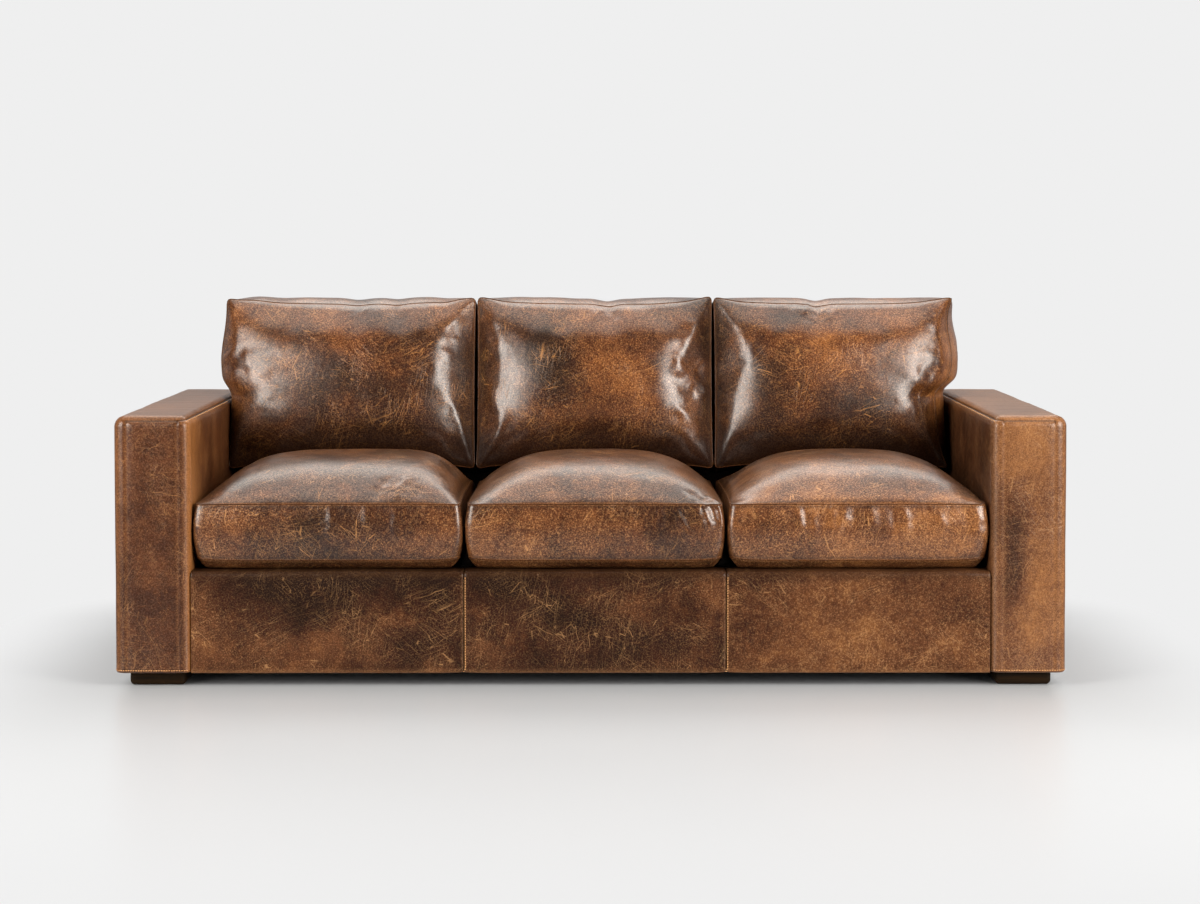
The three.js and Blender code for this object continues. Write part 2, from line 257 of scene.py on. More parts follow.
def grid_lines(low, high, step, dense, dense_step, reach):
    """Coordinates from low to high about step apart, and closer together near the dense ones."""
    marks = {low, high, *dense}
    for d in dense:
        marks |= {min(max(d + s * reach, low), high) for s in (-1, 1)}
    marks = sorted(marks)
    lines = []
    for a, b in zip(marks[:-1], marks[1:]):
        if b - a > 1e-6:
            near = any(abs((a + b) / 2 - d) < reach for d in dense)
            count = max(1, round((b - a) / (dense_step if near else step)))
            lines += list(np.linspace(a, b, count, endpoint=False))
    return np.array(lines + [high])


def hide_of_box(raw, low, high):
    """Where each point of a sharp box lies on the flat hides that cover its faces, for the scratches."""
    depth = np.minimum(np.abs(raw - low), np.abs(raw - high))
    axis = depth.argmin(axis=1)
    rows = np.arange(len(raw))
    far = np.abs(raw[rows, axis] - high[axis]) < np.abs(raw[rows, axis] - low[axis])
    return np.stack([raw[rows, (axis + 1) % 3], raw[rows, (axis + 2) % 3], axis * 2.0 + far], axis=1)


def tube(path, radius, sides=6):
    """Points and quads of a round tube along a closed path."""
    n = len(path)
    tangent = unit(np.roll(path, -1, 0) - np.roll(path, 1, 0))
    side = unit(np.cross(tangent, [0.31, 0.17, 0.94]))
    other = np.cross(side, tangent)
    angles = (np.arange(sides) * 2 * math.pi / sides)[None, :, None]
    points = path[:, None] + radius * (np.cos(angles) * side[:, None] + np.sin(angles) * other[:, None])
    quads = []
    for i, k in np.ndindex(n, sides):
        here, ahead, turn = i * sides, (i + 1) % n * sides, (k + 1) % sides
        quads.append((here + k, here + turn, ahead + turn, ahead + k))
    return points.reshape(-1, 3), quads


STITCH_PITCH, STITCH_LONG, STITCH_WIDE = 6.0 * MM, 4.6 * MM, 1.7 * MM
STITCH_HIGH, STITCH_RAISE, STITCH_SIDES = 0.45 * MM, 0.15 * MM, 6
# A stitch's rings: where each lies along it, and its share of the full width.
STITCH_RINGS = ((-0.5, 0.35), (-0.28, 1.0), (0.28, 1.0), (0.5, 0.35))


def sew(name, rows, seed):
    """A piece of sewn thread: one short bead per stitch along rows of (path, normals)."""
    rng = np.random.default_rng(seed)
    points, faces = [], []
    for path, normals in rows:
        along = distance_along(path)
        for at in np.arange(STITCH_PITCH / 2, along[-1], STITCH_PITCH):
            at = at + rng.uniform(-0.15, 0.15) * MM
            centre, normal = interpolate(at, along, path), unit(interpolate(at, along, normals))
            k = min(np.searchsorted(along, at), len(path) - 1)
            tangent = unit(path[k] - path[k - 1])
            side = unit(np.cross(tangent, normal))
            tangent = unit(tangent + rng.uniform(-0.08, 0.08) * side)
            first = len(points)
            for share, wide in STITCH_RINGS:
                for angle in np.arange(STITCH_SIDES) * 2 * math.pi / STITCH_SIDES:
                    out = side * math.cos(angle) * wide * STITCH_WIDE / 2
                    up = normal * (math.sin(angle) * wide * STITCH_HIGH + STITCH_RAISE)
                    points.append(centre + tangent * share * STITCH_LONG + out + up)
            for r, s in np.ndindex(len(STITCH_RINGS) - 1, STITCH_SIDES):
                a = first + r * STITCH_SIDES + s
                b = first + r * STITCH_SIDES + (s + 1) % STITCH_SIDES
                faces.append((a, a + STITCH_SIDES, b + STITCH_SIDES, b))
            faces.append(tuple(range(first, first + STITCH_SIDES)))
            faces.append(tuple(range(len(points) - STITCH_SIDES, len(points)))[::-1])
    finish_piece(make_object(name, points, faces, THREAD), "leather")


# ---- Materials ----------------------------------------------------------------------------------
class Nodes:
    """The node tree of a material or world, written from left to right."""

    def __init__(self, holder):
        holder.use_nodes = True
        self.holder, self.tree = holder, holder.node_tree
        self.tree.nodes.clear()

    def add(self, kind, inputs=(), **settings):
        node = self.tree.nodes.new("ShaderNode" + kind)
        for key, value in settings.items():
            setattr(node, key, value)
        for key, value in dict(inputs).items():
            if isinstance(value, bpy.types.NodeSocket):
                self.tree.links.new(value, node.inputs[key])
            else:
                node.inputs[key].default_value = value
        return node

    def math(self, operation, a, b, clamp=False):
        return self.add("Math", {0: a, 1: b}, operation=operation, use_clamp=clamp).outputs[0]

    def plus(self, a, b):
        return self.math("ADD", a, b)

    def times(self, a, b, clamp=False):
        return self.math("MULTIPLY", a, b, clamp)

    def vector(self, operation, a, b=(0.0, 0.0, 0.0)):
        return self.add("VectorMath", {0: a, 1: b}, operation=operation).outputs[0]

    def remap(self, value, low, high, to_low=0.0, to_high=1.0, kind="SMOOTHSTEP"):
        inputs = {"Value": value, 1: low, 2: high, 3: to_low, 4: to_high}
        return self.add("MapRange", inputs, interpolation_type=kind, clamp=True).outputs[0]

    def mix(self, factor, a, b, blend="MIX"):
        return self.add("Mix", {0: factor, 6: a, 7: b}, data_type="RGBA", blend_type=blend).outputs[2]

    def place(self):
        return self.add("TexCoord").outputs["Object"]

    def mapping(self, vector, move=(0, 0, 0), scale=(1, 1, 1)):
        return self.add("Mapping", {"Vector": vector, "Location": move, "Scale": scale}).outputs[0]

    def noise(self, vector, scale, detail, roughness, distortion=0.0):
        inputs = {"Vector": vector, "Scale": scale, "Detail": detail, "Roughness": roughness}
        return self.add("TexNoise", {**inputs, "Distortion": distortion}).outputs["Fac"]

    def noise_color(self, vector, scale, detail):
        return self.add("TexNoise", {"Vector": vector, "Scale": scale, "Detail": detail}).outputs["Color"]

    def cell_edge(self, vector, scale):
        """The distance to the nearest edge between Voronoi cells."""
        inputs = {"Vector": vector, "Scale": scale}
        return self.add("TexVoronoi", inputs, feature="DISTANCE_TO_EDGE").outputs["Distance"]

    def attribute(self, name, output="Fac"):
        return self.add("Attribute", attribute_name=name).outputs[output]

    def ramp(self, value, stops):
        node = self.add("ValToRGB", {0: value})
        elements = node.color_ramp.elements
        while len(elements) < len(stops):
            elements.new(0.5)
        for element, (at, color) in zip(elements, stops):
            element.position, element.color = at, color
        return node.outputs[0]

    def bump(self, height, distance, strength, **more):
        inputs = {"Height": height, "Distance": distance, "Strength": strength, **more}
        return self.add("Bump", inputs).outputs[0]

    def surface(self, **inputs):
        shader = self.add("BsdfPrincipled", {k.replace("_", " "): v for k, v in inputs.items()})
        self.add("OutputMaterial", {"Surface": shader.outputs[0]})
        return self.holder


def new_material(name):
    return Nodes(bpy.data.materials.new(name))


def rgb(*channels):
    """A linear colour from the display values of red, green and blue, 0 to 255."""
    linear = [c / 255 / 12.92 if c <= 10 else ((c / 255 + 0.055) / 1.055) ** 2.4 for c in channels]
    return (*linear, 1.0)


# Scratches run over a hide in these directions: turn in degrees, length and spacing in metres.
SCRATCHES = ((24, 0.16, 0.014), (79, 0.11, 0.012), (141, 0.14, 0.013))
DARK, DEEP, MIDDLE, WARM = rgb(23, 8, 3), rgb(45, 21, 10), rgb(82, 48, 27), rgb(132, 88, 50)
# The rubbed colour is also used for painted highlights on the arms, and the soiled colour for painted shade
# as well as dirt.
TAN, RUB_AND_SHEEN, SHADE_AND_DIRT = rgb(196, 150, 102), rgb(190, 136, 88), rgb(24, 10, 6)


def scratches(n, hide):
    """Thin straight lines in a few directions that wander a little, and the bent hide they lie on."""
    bend = n.vector("SUBTRACT", n.noise_color(hide, 15.0, 2.0), (0.5, 0.5, 0.5))
    bent = n.vector("ADD", hide, n.vector("MULTIPLY", bend, (0.022, 0.022, 0.0)))
    # Each direction shows only here and there.
    shown = n.noise_color(n.mapping(hide, (7.7, 3.1, 5.3)), 10.0, 3.0)
    shown = n.add("SeparateColor", {"Color": shown}).outputs
    lines = None
    for k, (turn, length, spacing) in enumerate(SCRATCHES):
        inputs = {"Vector": bent, "Location": (0.37 * k, 0.11 * k, 0.53 * k)}
        inputs["Rotation"] = (0.0, 0.0, math.radians(turn))
        inputs["Scale"] = (length, spacing, 0.1)
        turned = n.add("Mapping", inputs, vector_type="TEXTURE").outputs[0]
        line = n.remap(n.cell_edge(turned, 1.0), 0.002, 0.018, 1.0, 0.0)
        line = n.times(line, n.remap(shown[k], 0.46, 0.60))
        lines = line if lines is None else n.math("MAXIMUM", lines, line)
    return lines, bent


def leather(name, seed, dark, crackle, speckle, cloud, coat, tint):
    """Worn pull-up leather: smoky patches, fine pale scratches and crackle, grain and a waxed shine."""
    n = new_material(name)
    rng = np.random.default_rng(seed)
    at = n.mapping(n.place(), tuple(rng.uniform(-9, 9, 3)))
    broad = n.noise(at, 3.4, 3.0, 0.55, 0.6)
    patches = n.noise(at, 12.0, 5.0, 0.66, 0.5)
    mottle = n.noise(at, 70.0, 4.0, 0.75, 0.3)
    flecks = n.noise(at, 290.0, 3.0, 0.75)
    grain = n.noise(at, 620.0, 2.0, 0.65)
    clusters = n.remap(n.noise(at, 9.0, 3.0, 0.6), 0.40, 0.58, 0.25, 1.0)
    lines, bent = scratches(n, n.attribute("hide", "Vector"))
    lines = n.times(lines, clusters)
    cracks = n.remap(n.cell_edge(bent, 130.0), 0.01, 0.07, 1.0, 0.0)

    tone = n.times(n.plus(n.times(broad, 0.6), n.times(patches, 0.5)), cloud)
    tone = n.plus(tone, n.times(mottle, 0.16 + 0.12 * cloud))
    tone = n.plus(tone, 0.42 - 0.61 * cloud - dark)
    tone = n.plus(tone, n.attribute("tone"))
    color = n.ramp(tone, [(0.34, DARK), (0.45, DEEP), (0.56, MIDDLE), (0.72, WARM)])
    dusty = n.remap(tone, 0.36, 0.60, 0.20, 1.0)
    fleck = n.times(n.remap(flecks, 0.52, 0.66), dusty)
    color = n.mix(n.times(fleck, 0.36 * speckle), color, TAN)
    color = n.mix(n.remap(flecks, 0.32, 0.50, 0.22 + 0.22 * speckle, 0.0), color, DARK)
    broken = n.times(n.times(cracks, clusters), n.remap(flecks, 0.40, 0.60))
    color = n.mix(n.times(broken, 0.26 * crackle), color, TAN)
    color = n.mix(n.times(lines, 0.46 * crackle, clamp=True), color, TAN)
    # Paler at edges and seams: rubbed wear, and on the arms also a painted highlight on rounded edges and a
    # painted sheen on the top.
    rub_and_sheen = n.times(n.attribute("edge"), n.remap(flecks, 0.35, 0.6, 0.35, 0.9), clamp=True)
    color = n.mix(rub_and_sheen, color, RUB_AND_SHEEN)
    # Dirt in the seams, and painted shade at the top of the base under the seat cushions and at the bottoms
    # of the back cushions.
    color = n.mix(n.attribute("soil"), color, SHADE_AND_DIRT)
    color = n.mix(1.0, color, tint, blend="MULTIPLY")

    height = n.plus(n.times(grain, 0.4), n.times(flecks, 0.6))
    height = n.math("SUBTRACT", height, n.times(lines, 0.4))
    fine = n.bump(height, 0.0009, 0.32)
    bump = n.bump(n.noise(at, 24.0, 2.0, 0.5, 0.3), 0.004, 0.22, Normal=fine)
    return n.surface(
        Base_Color=color,
        Roughness=n.remap(flecks, 0.3, 0.7, 0.28, 0.42, kind="LINEAR"),
        IOR=1.14,
        Normal=bump,
        Coat_Weight=n.remap(flecks, 0.34, 0.58, 0.5 * coat, coat),
        Coat_Roughness=0.28,
        Coat_IOR=1.62,
        Coat_Normal=bump,
    )


def wood(name, light, dark, scale=1.0, along="X", rough=0.6):
    """Straight-grained timber, or the faces and edges of plywood."""
    n = new_material(name)
    at = n.place()
    stretched = n.mapping(at, scale={"X": (0.06, 1, 1), "Z": (1, 1, 0.06)}[along])
    grain = n.noise(stretched, 60.0 * scale, 4.0, 0.6, 1.2)
    pores = n.noise(stretched, 420.0 * scale, 2.0, 0.6)
    tone = n.plus(n.times(grain, 0.75), n.times(pores, 0.25))
    color = n.ramp(tone, [(0.34, dark), (0.62, light)])
    scuff = n.remap(n.noise(at, 34.0, 4.0, 0.7), 0.60, 0.74, 0.0, 0.6)
    color = n.mix(n.times(scuff, n.attribute("edge")), color, rgb(120, 82, 52))
    gloss = n.remap(tone, 0.3, 0.7, rough, rough + 0.15, kind="LINEAR")
    return n.surface(Base_Color=color, Roughness=gloss, IOR=1.18, Normal=n.bump(tone, 0.0008, 0.4))


def fibre(name, light, dark, scale, rough=0.9, weave=None):
    """Foam, non-woven cloth, or webbing with a weave."""
    n = new_material(name)
    at = n.place()
    height = n.noise(at, scale, 3.0, 0.7)
    if weave:
        inputs = {"Vector": at, "Scale": weave, "Distortion": 0.4}
        warp, weft = (n.add("TexWave", inputs, bands_direction=d).outputs["Fac"] for d in ("X", "Y"))
        height = n.plus(n.times(warp, weft), n.times(height, 0.4))
    color = n.ramp(height, [(0.3, dark), (0.75, light)])
    return n.surface(Base_Color=color, Roughness=rough, Normal=n.bump(height, 0.0008, 0.6))


def thread_material():
    n = new_material("thread")
    twist = n.noise(n.place(), 900.0, 2.0, 0.6)
    color = n.ramp(twist, [(0.3, rgb(150, 98, 52)), (0.7, rgb(226, 172, 110))])
    return n.surface(Base_Color=color, Roughness=0.6, Normal=n.bump(twist, 0.0004, 0.6))


PLAIN, ARM_TINT, BASE_TINT = (1.0, 1.0, 1.0, 1.0), (1.0, 0.92, 0.82, 1.0), (0.88, 0.87, 0.86, 1.0)
SEAT_TINT, BACK_TINT = (1.0, 0.91, 0.78, 1.0), (0.97, 0.82, 0.60, 1.0)
# Each leather: how dark, crackled, speckled, cloudy and waxed it is, and its tint.
HIDES = {
    "arm_right": (0.0, 0.5, 0.5, 0.4, 0.55, ARM_TINT),
    "arm_left": (-0.07, 0.5, 0.5, 0.42, 0.55, PLAIN),
    "base_right": (0.04, 0.8, 0.7, 0.62, 0.2, BASE_TINT),
    "base_middle": (0.05, 0.8, 0.7, 0.62, 0.2, BASE_TINT),
    "base_left": (-0.02, 0.8, 0.7, 0.52, 0.2, BASE_TINT),
    "seat": (0.01, 1.0, 1.2, 0.8, 0.85, SEAT_TINT),
    "back": (0.01, 0.9, 1.25, 0.7, 0.92, BACK_TINT),
    "rear": (0.0, 0.5, 0.7, 0.8, 0.4, BACK_TINT),
    "seam": (0.06, 0.0, 0.8, 0.6, 0.3, BACK_TINT),
}
LEATHERS = {}
for seed, (name, looks) in enumerate(HIDES.items(), 101):
    LEATHERS[name] = leather("leather_" + name, seed, *looks)

# Smoky (negative) and pale (positive) places on a panel: middle, half sizes and strength. Arms and base
# are measured in metres of x and z, and the cushions in u and v. On each back cushion the first place,
# along its bottom, is painted shade under the seat crown; the dark places along the sides that meet a
# neighbour are painted shade between the cushions; and the pale place on the left one's outer side is
# a painted highlight.
STAINS_AND_SHADE = {
    "base_right": (
        (-0.62, 0.27, 0.3, 0.035, -0.16), (-0.62, 0.2, 0.1, 0.06, -0.17), (-0.75, 0.23, 0.1, 0.04, -0.1),
        (-0.42, 0.11, 0.09, 0.04, -0.12), (-0.93, 0.16, 0.07, 0.2, 0.1), (-0.78, 0.09, 0.17, 0.035, 0.09),
        (-0.5, 0.16, 0.12, 0.025, 0.05), (-0.36, 0.22, 0.06, 0.05, -0.1),
    ),
    "base_middle": (
        (-0.22, 0.25, 0.1, 0.05, -0.18), (-0.05, 0.17, 0.07, 0.05, -0.14), (0.02, 0.27, 0.2, 0.03, -0.1),
        (0.09, 0.21, 0.09, 0.04, 0.06), (0.29, 0.17, 0.04, 0.14, 0.07), (-0.23, 0.1, 0.08, 0.03, 0.06),
        (0.15, 0.11, 0.09, 0.04, -0.07),
    ),
    "base_left": (
        (0.4, 0.26, 0.1, 0.03, -0.08), (0.75, 0.1, 0.2, 0.06, 0.04), (0.6, 0.28, 0.3, 0.02, -0.06),
    ),
    "arm_left": (
        (1.0, 0.34, 0.035, 0.09, -0.19), (0.99, 0.24, 0.03, 0.09, -0.1), (1.04, 0.56, 0.06, 0.13, 0.1),
        (1.05, 0.22, 0.03, 0.08, 0.08),
    ),
    "arm_right": ((-1.04, 0.52, 0.05, 0.1, -0.05), (-1.04, 0.2, 0.06, 0.06, -0.04)),
    "seat_cushion_right": ((-0.3, -1.0, 0.5, 0.1, -0.05),),
    "seat_cushion_middle": ((0.0, -1.0, 1.0, 0.1, 0.07),),
    "seat_cushion_left": ((0.3, -1.0, 0.9, 0.1, 0.13),),
    "back_cushion_right": (
        (0.0, -0.95, 1.3, 0.38, -0.3), (-0.12, 0.12, 0.14, 0.22, -0.12), (-0.35, -0.4, 0.4, 0.3, -0.08),
        (0.2, 0.45, 0.45, 0.26, 0.06), (0.38, 0.05, 0.1, 0.3, 0.05), (0.1, -0.1, 0.3, 0.15, -0.1),
        (-0.5, 0.62, 0.25, 0.2, -0.06), (0.93, 0.0, 0.09, 1.0, -0.14),
    ),
    "back_cushion_middle": (
        (0.0, -1.0, 1.3, 0.32, -0.28), (-0.46, 0.45, 0.13, 0.42, -0.2), (-0.3, 0.1, 0.16, 0.3, -0.16),
        (0.12, 0.2, 0.24, 0.42, 0.1), (0.32, 0.05, 0.2, 0.3, 0.06), (0.02, -0.62, 0.3, 0.14, -0.08),
        (0.95, 0.0, 0.07, 1.0, -0.14), (-0.96, 0.0, 0.07, 1.0, -0.12),
    ),
    "back_cushion_left": (
        (0.0, -1.0, 1.3, 0.34, -0.3), (-0.55, 0.05, 0.18, 0.3, -0.16), (-0.1, 0.25, 0.34, 0.34, 0.09),
        (0.25, -0.3, 0.28, 0.22, -0.1), (-0.3, 0.8, 0.3, 0.12, -0.06), (-0.95, 0.0, 0.08, 1.0, -0.14),
        (1.0, 0.15, 0.07, 0.6, 0.22),
    ),
}


def stains_and_shade(name, flat):
    """How much paler or darker each point of a panel is than plain leather, from stains and from painted
    shade and highlight.
    """
    total = np.zeros(len(flat))
    for a, b, half_a, half_b, strength in STAINS_AND_SHADE.get(name, ()):
        total += 0.8 * strength * bell(flat[:, 0] - a, half_a) * bell(flat[:, 1] - b, half_b)
    return total


THREAD = thread_material()
FOOT_WOOD = wood("foot_wood", rgb(38, 24, 8), rgb(17, 10, 3), rough=0.55)
CAD_MATERIALS = {
    "timber": wood("timber", rgb(214, 178, 128), rgb(176, 134, 88)),
    "plywood": wood("plywood", rgb(205, 172, 126), rgb(168, 130, 86), 1.6, "Z"),
    "deck": fibre("deck_cloth", rgb(52, 34, 24), rgb(26, 17, 12), 300.0, 0.95, weave=220.0),
    "foam": fibre("foam", rgb(238, 230, 206), rgb(206, 194, 160), 260.0),
    "webbing": fibre("webbing", rgb(74, 72, 68), rgb(24, 24, 24), 500.0, 0.85, weave=160.0),
    "dust_cover": fibre("dust_cover", rgb(44, 44, 46), rgb(18, 18, 20), 700.0, 0.92),
}


def dress_cad_nodes():
    """Gives every carried-over CAD node the material of its slot."""
    slots = {s["node"]: s["material_slot"] for s in frame["record"]["subparts"]}
    for name, node in frame["nodes"].items():
        material = CAD_MATERIALS.get("deck" if name == "deck_pad" else slots.get(name))
        if material:
            node.data.materials.clear()
            node.data.materials.append(material)


# ---- Stage and lights ---------------------------------------------------------------------------
BACKDROP = rgb(239, 239, 239)
FOOTPRINT = (CAD_BOX[1][0], CAD_BOX[1][1], 0.0)
FLOOR_RINGS, FLOOR_SIDES = (1.5, 3, 5, 8, 14, 30, 80), 48


def make_stage():
    """A pale floor that fades into the backdrop's colour away from the sofa."""
    n = new_material("floor")
    at = n.place()
    color = n.ramp(n.noise(at, 3.0, 2.0, 0.6), [(0.3, rgb(177, 182, 188)), (0.7, rgb(178, 183, 189))])
    shader = n.add("BsdfPrincipled", {"Base Color": color, "Roughness": 0.28})
    # The floor far from the sofa lights it less than it shows.
    seen = n.remap(n.add("LightPath").outputs["Is Camera Ray"], 0.0, 1.0, 0.30, 1.0)
    glow = n.add("Emission", {"Color": BACKDROP, "Strength": seen})
    # How far a point lies outside the sofa's footprint.
    reach = n.vector("MAXIMUM", n.vector("SUBTRACT", n.vector("ABSOLUTE", at), FOOTPRINT))
    # The shade fades soon at the sides and behind, and slowly towards the front.
    behind = n.math("GREATER_THAN", n.add("SeparateXYZ", {0: at}).outputs["Y"], 0.0)
    weight = n.add("CombineXYZ", {"X": 5.0, "Y": n.remap(behind, 0, 1, 1.0, 4.0)}).outputs[0]
    reach = n.vector("MULTIPLY", reach, weight)
    far = n.add("VectorMath", {0: reach}, operation="LENGTH").outputs["Value"]
    both = n.add("MixShader", {0: n.remap(far, 0.05, 2.4), 1: shader.outputs[0], 2: glow.outputs[0]})
    n.add("OutputMaterial", {"Surface": both.outputs[0]})

    points = [(0, 0, 0)]
    for radius in FLOOR_RINGS:
        for angle in np.arange(FLOOR_SIDES) * 2 * math.pi / FLOOR_SIDES:
            points.append((radius * math.cos(angle), radius * math.sin(angle), 0))
    faces = [(0, 1 + k, 1 + (k + 1) % FLOOR_SIDES) for k in range(FLOOR_SIDES)]
    for r, k in np.ndindex(len(FLOOR_RINGS) - 1, FLOOR_SIDES):
        a, b = 1 + r * FLOOR_SIDES + k, 1 + r * FLOOR_SIDES + (k + 1) % FLOOR_SIDES
        faces.append((a, a + FLOOR_SIDES, b + FLOOR_SIDES, b))
    floor = make_object("stage_floor", points, faces, n.holder)


LIGHT_COLOR = (1.0, 0.93, 0.85)
# Each softbox: where it stands, where it aims, its two sizes and the brightness of its face.
SOFTBOXES = {
    "softbox_above": ((0.0, 0.0, 3.5), (0.0, 0.1, 0.4), (4.4, 1.8), 2.6),
    "softbox_rear": ((0.0, 2.1, 3.2), (0.0, 0.0, 0.5), (4.4, 1.5), 3.9),
    "softbox_left": ((-3.4, -3.1, 2.1), (-0.2, 0.0, 0.8), (2.4, 3.1), 13.5),
    "softbox_right": ((3.4, -3.1, 2.1), (0.2, 0.0, 0.8), (2.4, 3.1), 16.0),
}


def make_lights():
    for name, (at, aim, (wide, long), radiance) in SOFTBOXES.items():
        data = bpy.data.lights.new(name, "AREA")
        data.shape, data.size, data.size_y = "RECTANGLE", wide, long
        data.energy = radiance * math.pi * wide * long
        data.color = LIGHT_COLOR
        light = bpy.data.objects.new(name, data)
        light.location = at
        light.rotation_euler = (Vector(aim) - Vector(at)).to_track_quat("-Z", "Y").to_euler()
        light.visible_camera = False
        bpy.context.scene.collection.objects.link(light)


def make_world():
    """Behind the sofa the studio is a bright backdrop, and on the camera's side it is dim."""
    world = bpy.data.worlds.new("studio")
    bpy.context.scene.world = world
    n = Nodes(world)
    toward = n.add("SeparateXYZ", {0: n.add("TexCoord").outputs["Generated"]}).outputs["Y"]
    lit = n.add("Background", {"Strength": n.remap(toward, -0.1, 0.5, 0.03, 0.62)})
    seen = n.add("Background", {"Color": BACKDROP})
    direct = n.add("LightPath").outputs["Is Camera Ray"]
    both = n.add("MixShader", {0: direct, 1: lit.outputs[0], 2: seen.outputs[0]})
    n.add("OutputWorld", {"Surface": both.outputs[0]})
    bpy.context.scene.view_settings.view_transform = "Standard"
    bpy.context.scene.view_settings.look = "None"


# ---- Arms ---------------------------------------------------------------------------------------
ARM_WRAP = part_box("arm_wrap_leather_left")
HEM = ARM_WRAP[0].z
ARM_LOW = np.array([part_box("arm_inside_leather_left")[0].x, -ARM_WRAP[1].y, HEM])
ARM_HIGH = np.array(ARM_WRAP[1])
ARM_RADIUS = 24 * MM
SEAM_INSET, SEAM_DROP = 28 * MM, 9 * MM
GROOVE = 2.1 * MM
ARM_WAVES = Noise(11)


def arm_seams():
    """The sewn lines of the +X arm: around the front panel, and along the top inside edge."""
    low, high = ARM_LOW, ARM_HIGH
    x0, x1, z1, y = low[0] + SEAM_INSET, high[0] - SEAM_INSET, high[2] - SEAM_DROP, low[1] + 4 * MM
    mid = ARM_RADIUS * (1 - math.sqrt(0.5))
    corner = (low[0] + mid, y + mid * 1.2, high[2] - mid)
    front = [(x0, y, HEM), (x0, y, z1), (x1, y, z1), (x1, y, HEM)]
    lines = list(zip(front[:-1], front[1:]))
    lines.append(((x0, y, z1), corner))
    lines.append((corner, (corner[0], high[1] - mid, corner[2])))
    return lines


def arm_surface(raw, mirror):
    """Points, normals and distances to a seam of an arm's leather, from points of the sharp +X arm."""
    r = ARM_RADIUS
    core = np.clip(raw, [ARM_LOW[0] + r, ARM_LOW[1] + r, -1.0], ARM_HIGH - r)
    normal = unit(raw - core)
    points = core + normal * r
    gap = segment_distance(points, arm_seams())
    puff = 2.6 * MM * rise(gap, 9 * MM) - GROOVE * bell(gap, 2.4 * MM)
    seed = np.array([3.0 * mirror, 0, 0])
    inside = smoothstep(-normal[:, 0], 0.6, 1.0)
    outside = smoothstep(normal[:, 0], 0.6, 1.0)
    top = smoothstep(normal[:, 2], 0.6, 1.0)
    front = smoothstep(np.abs(normal[:, 1]), 0.6, 1.0)
    upright = ARM_WAVES(points * [3.0, 26.0, 2.2] + seed, 2)
    across = ARM_WAVES(points * [5.0, 24.0, 3.0] + seed + 7, 2)
    soft = ARM_WAVES(points * [9.0, 7.0, 6.0] + seed + 13, 2)
    waves = (inside + 0.5 * outside) * upright * 0.9 + top * across * 0.8 + 0.7 * soft + front * soft * 0.5
    points = points + normal * (puff + rise(gap, 16 * MM) * waves * MM)[:, None]
    return points, normal, gap


def make_arm(side, mirror):
    low, high, flip = ARM_LOW, ARM_HIGH, np.array([mirror, 1, 1])
    seams_x = [low[0], low[0] + SEAM_INSET, high[0] - SEAM_INSET, high[0]]
    xs = grid_lines(low[0], high[0], 7 * MM, seams_x, 2.4 * MM, 9 * MM)
    ys = grid_lines(low[1], high[1], 11 * MM, [low[1], high[1]], 4 * MM, 26 * MM)
    zs = grid_lines(HEM, high[2], 11 * MM, [HEM, high[2] - SEAM_DROP, high[2]], 2.4 * MM, 14 * MM)
    raw, quads = box_surface([xs, ys, zs], skip=[(2, 0)])
    points, normal, gap = arm_surface(raw, mirror)
    # The hem is turned in under itself.
    hem = np.clip(1 - (raw[:, 2] - HEM) / (4 * MM), 0, 1)
    points = points - normal * (hem**2 * 2.4 * MM)[:, None] * [1, 1, 0]
    rounded = np.clip((1 - np.abs(normal).max(axis=1)) / 0.29, 0, 1)
    # Rounded edges and the rolls beside the seams are paler, partly rubbed wear and partly a painted
    # highlight; the top face is paler too, a painted sheen.
    edge = np.maximum(0.10 * bell(gap - 3.5 * MM, 2.0 * MM), 0.22 * rounded)
    edge = np.maximum(edge, 0.22 * smoothstep(normal[:, 2], 0.5, 1.0))
    tone = stains_and_shade("arm_" + side, (points * flip)[:, [0, 2]]) * (np.abs(normal[:, 1]) > 0.5)
    # Painted light and shade on the inner faces: paler at the front and darker towards the back, the right
    # arm's fully and the left arm's faintly, and the left arm's darker all over.
    inner_face_shading = 0.22 * bell(points[:, 1] + 0.46, 0.14) - 0.06 * smoothstep(points[:, 1], -0.1, 0.3)
    inner_face_shading = 0.03 + inner_face_shading if side == "right" else 0.2 * inner_face_shading - 0.11
    tone += inner_face_shading * smoothstep(-normal[:, 0], 0.3, 1.0)
    soil, hide = 0.8 * bell(gap, 2.2 * MM), hide_of_box(raw, low, high) + 0.3 * mirror
    if mirror < 0:
        quads = [q[::-1] for q in quads]
    looks = {"edge": edge, "soil": soil, "tone": tone, "hide": hide}
    piece = make_object(f"arm_cover_{side}", points * flip, quads, LEATHERS["arm_" + side], **looks)
    thicken(piece)
    finish_piece(piece, "leather", *(f"arm_{part}_leather_{side}" for part in ("front", "inside", "wrap")))

    rows = []
    seam_z, hem_z = high[2] - 7 * MM, HEM + 6 * MM
    corners = [(low[0], low[1]), (high[0], low[1]), (high[0], high[1]), (low[0], high[1])]
    lines = [((low[0], low[1] + 4 * MM, seam_z), (low[0], high[1] - 30 * MM, seam_z))]
    lines += [((*a, hem_z), (*b, hem_z)) for a, b in zip(corners[:-1], corners[1:])]
    for start, end in lines:
        points, normal, _ = arm_surface(np.linspace(start, end, 160), mirror)
        rows.append((points * flip, normal * flip))
    sew(f"arm_stitching_{side}", rows, 5)


# ---- Base ---------------------------------------------------------------------------------------
BASE_LOW, BASE_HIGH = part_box("base_leather_middle")
BASE_RADIUS = 12 * MM
BASE_WAVES = Noise(23)


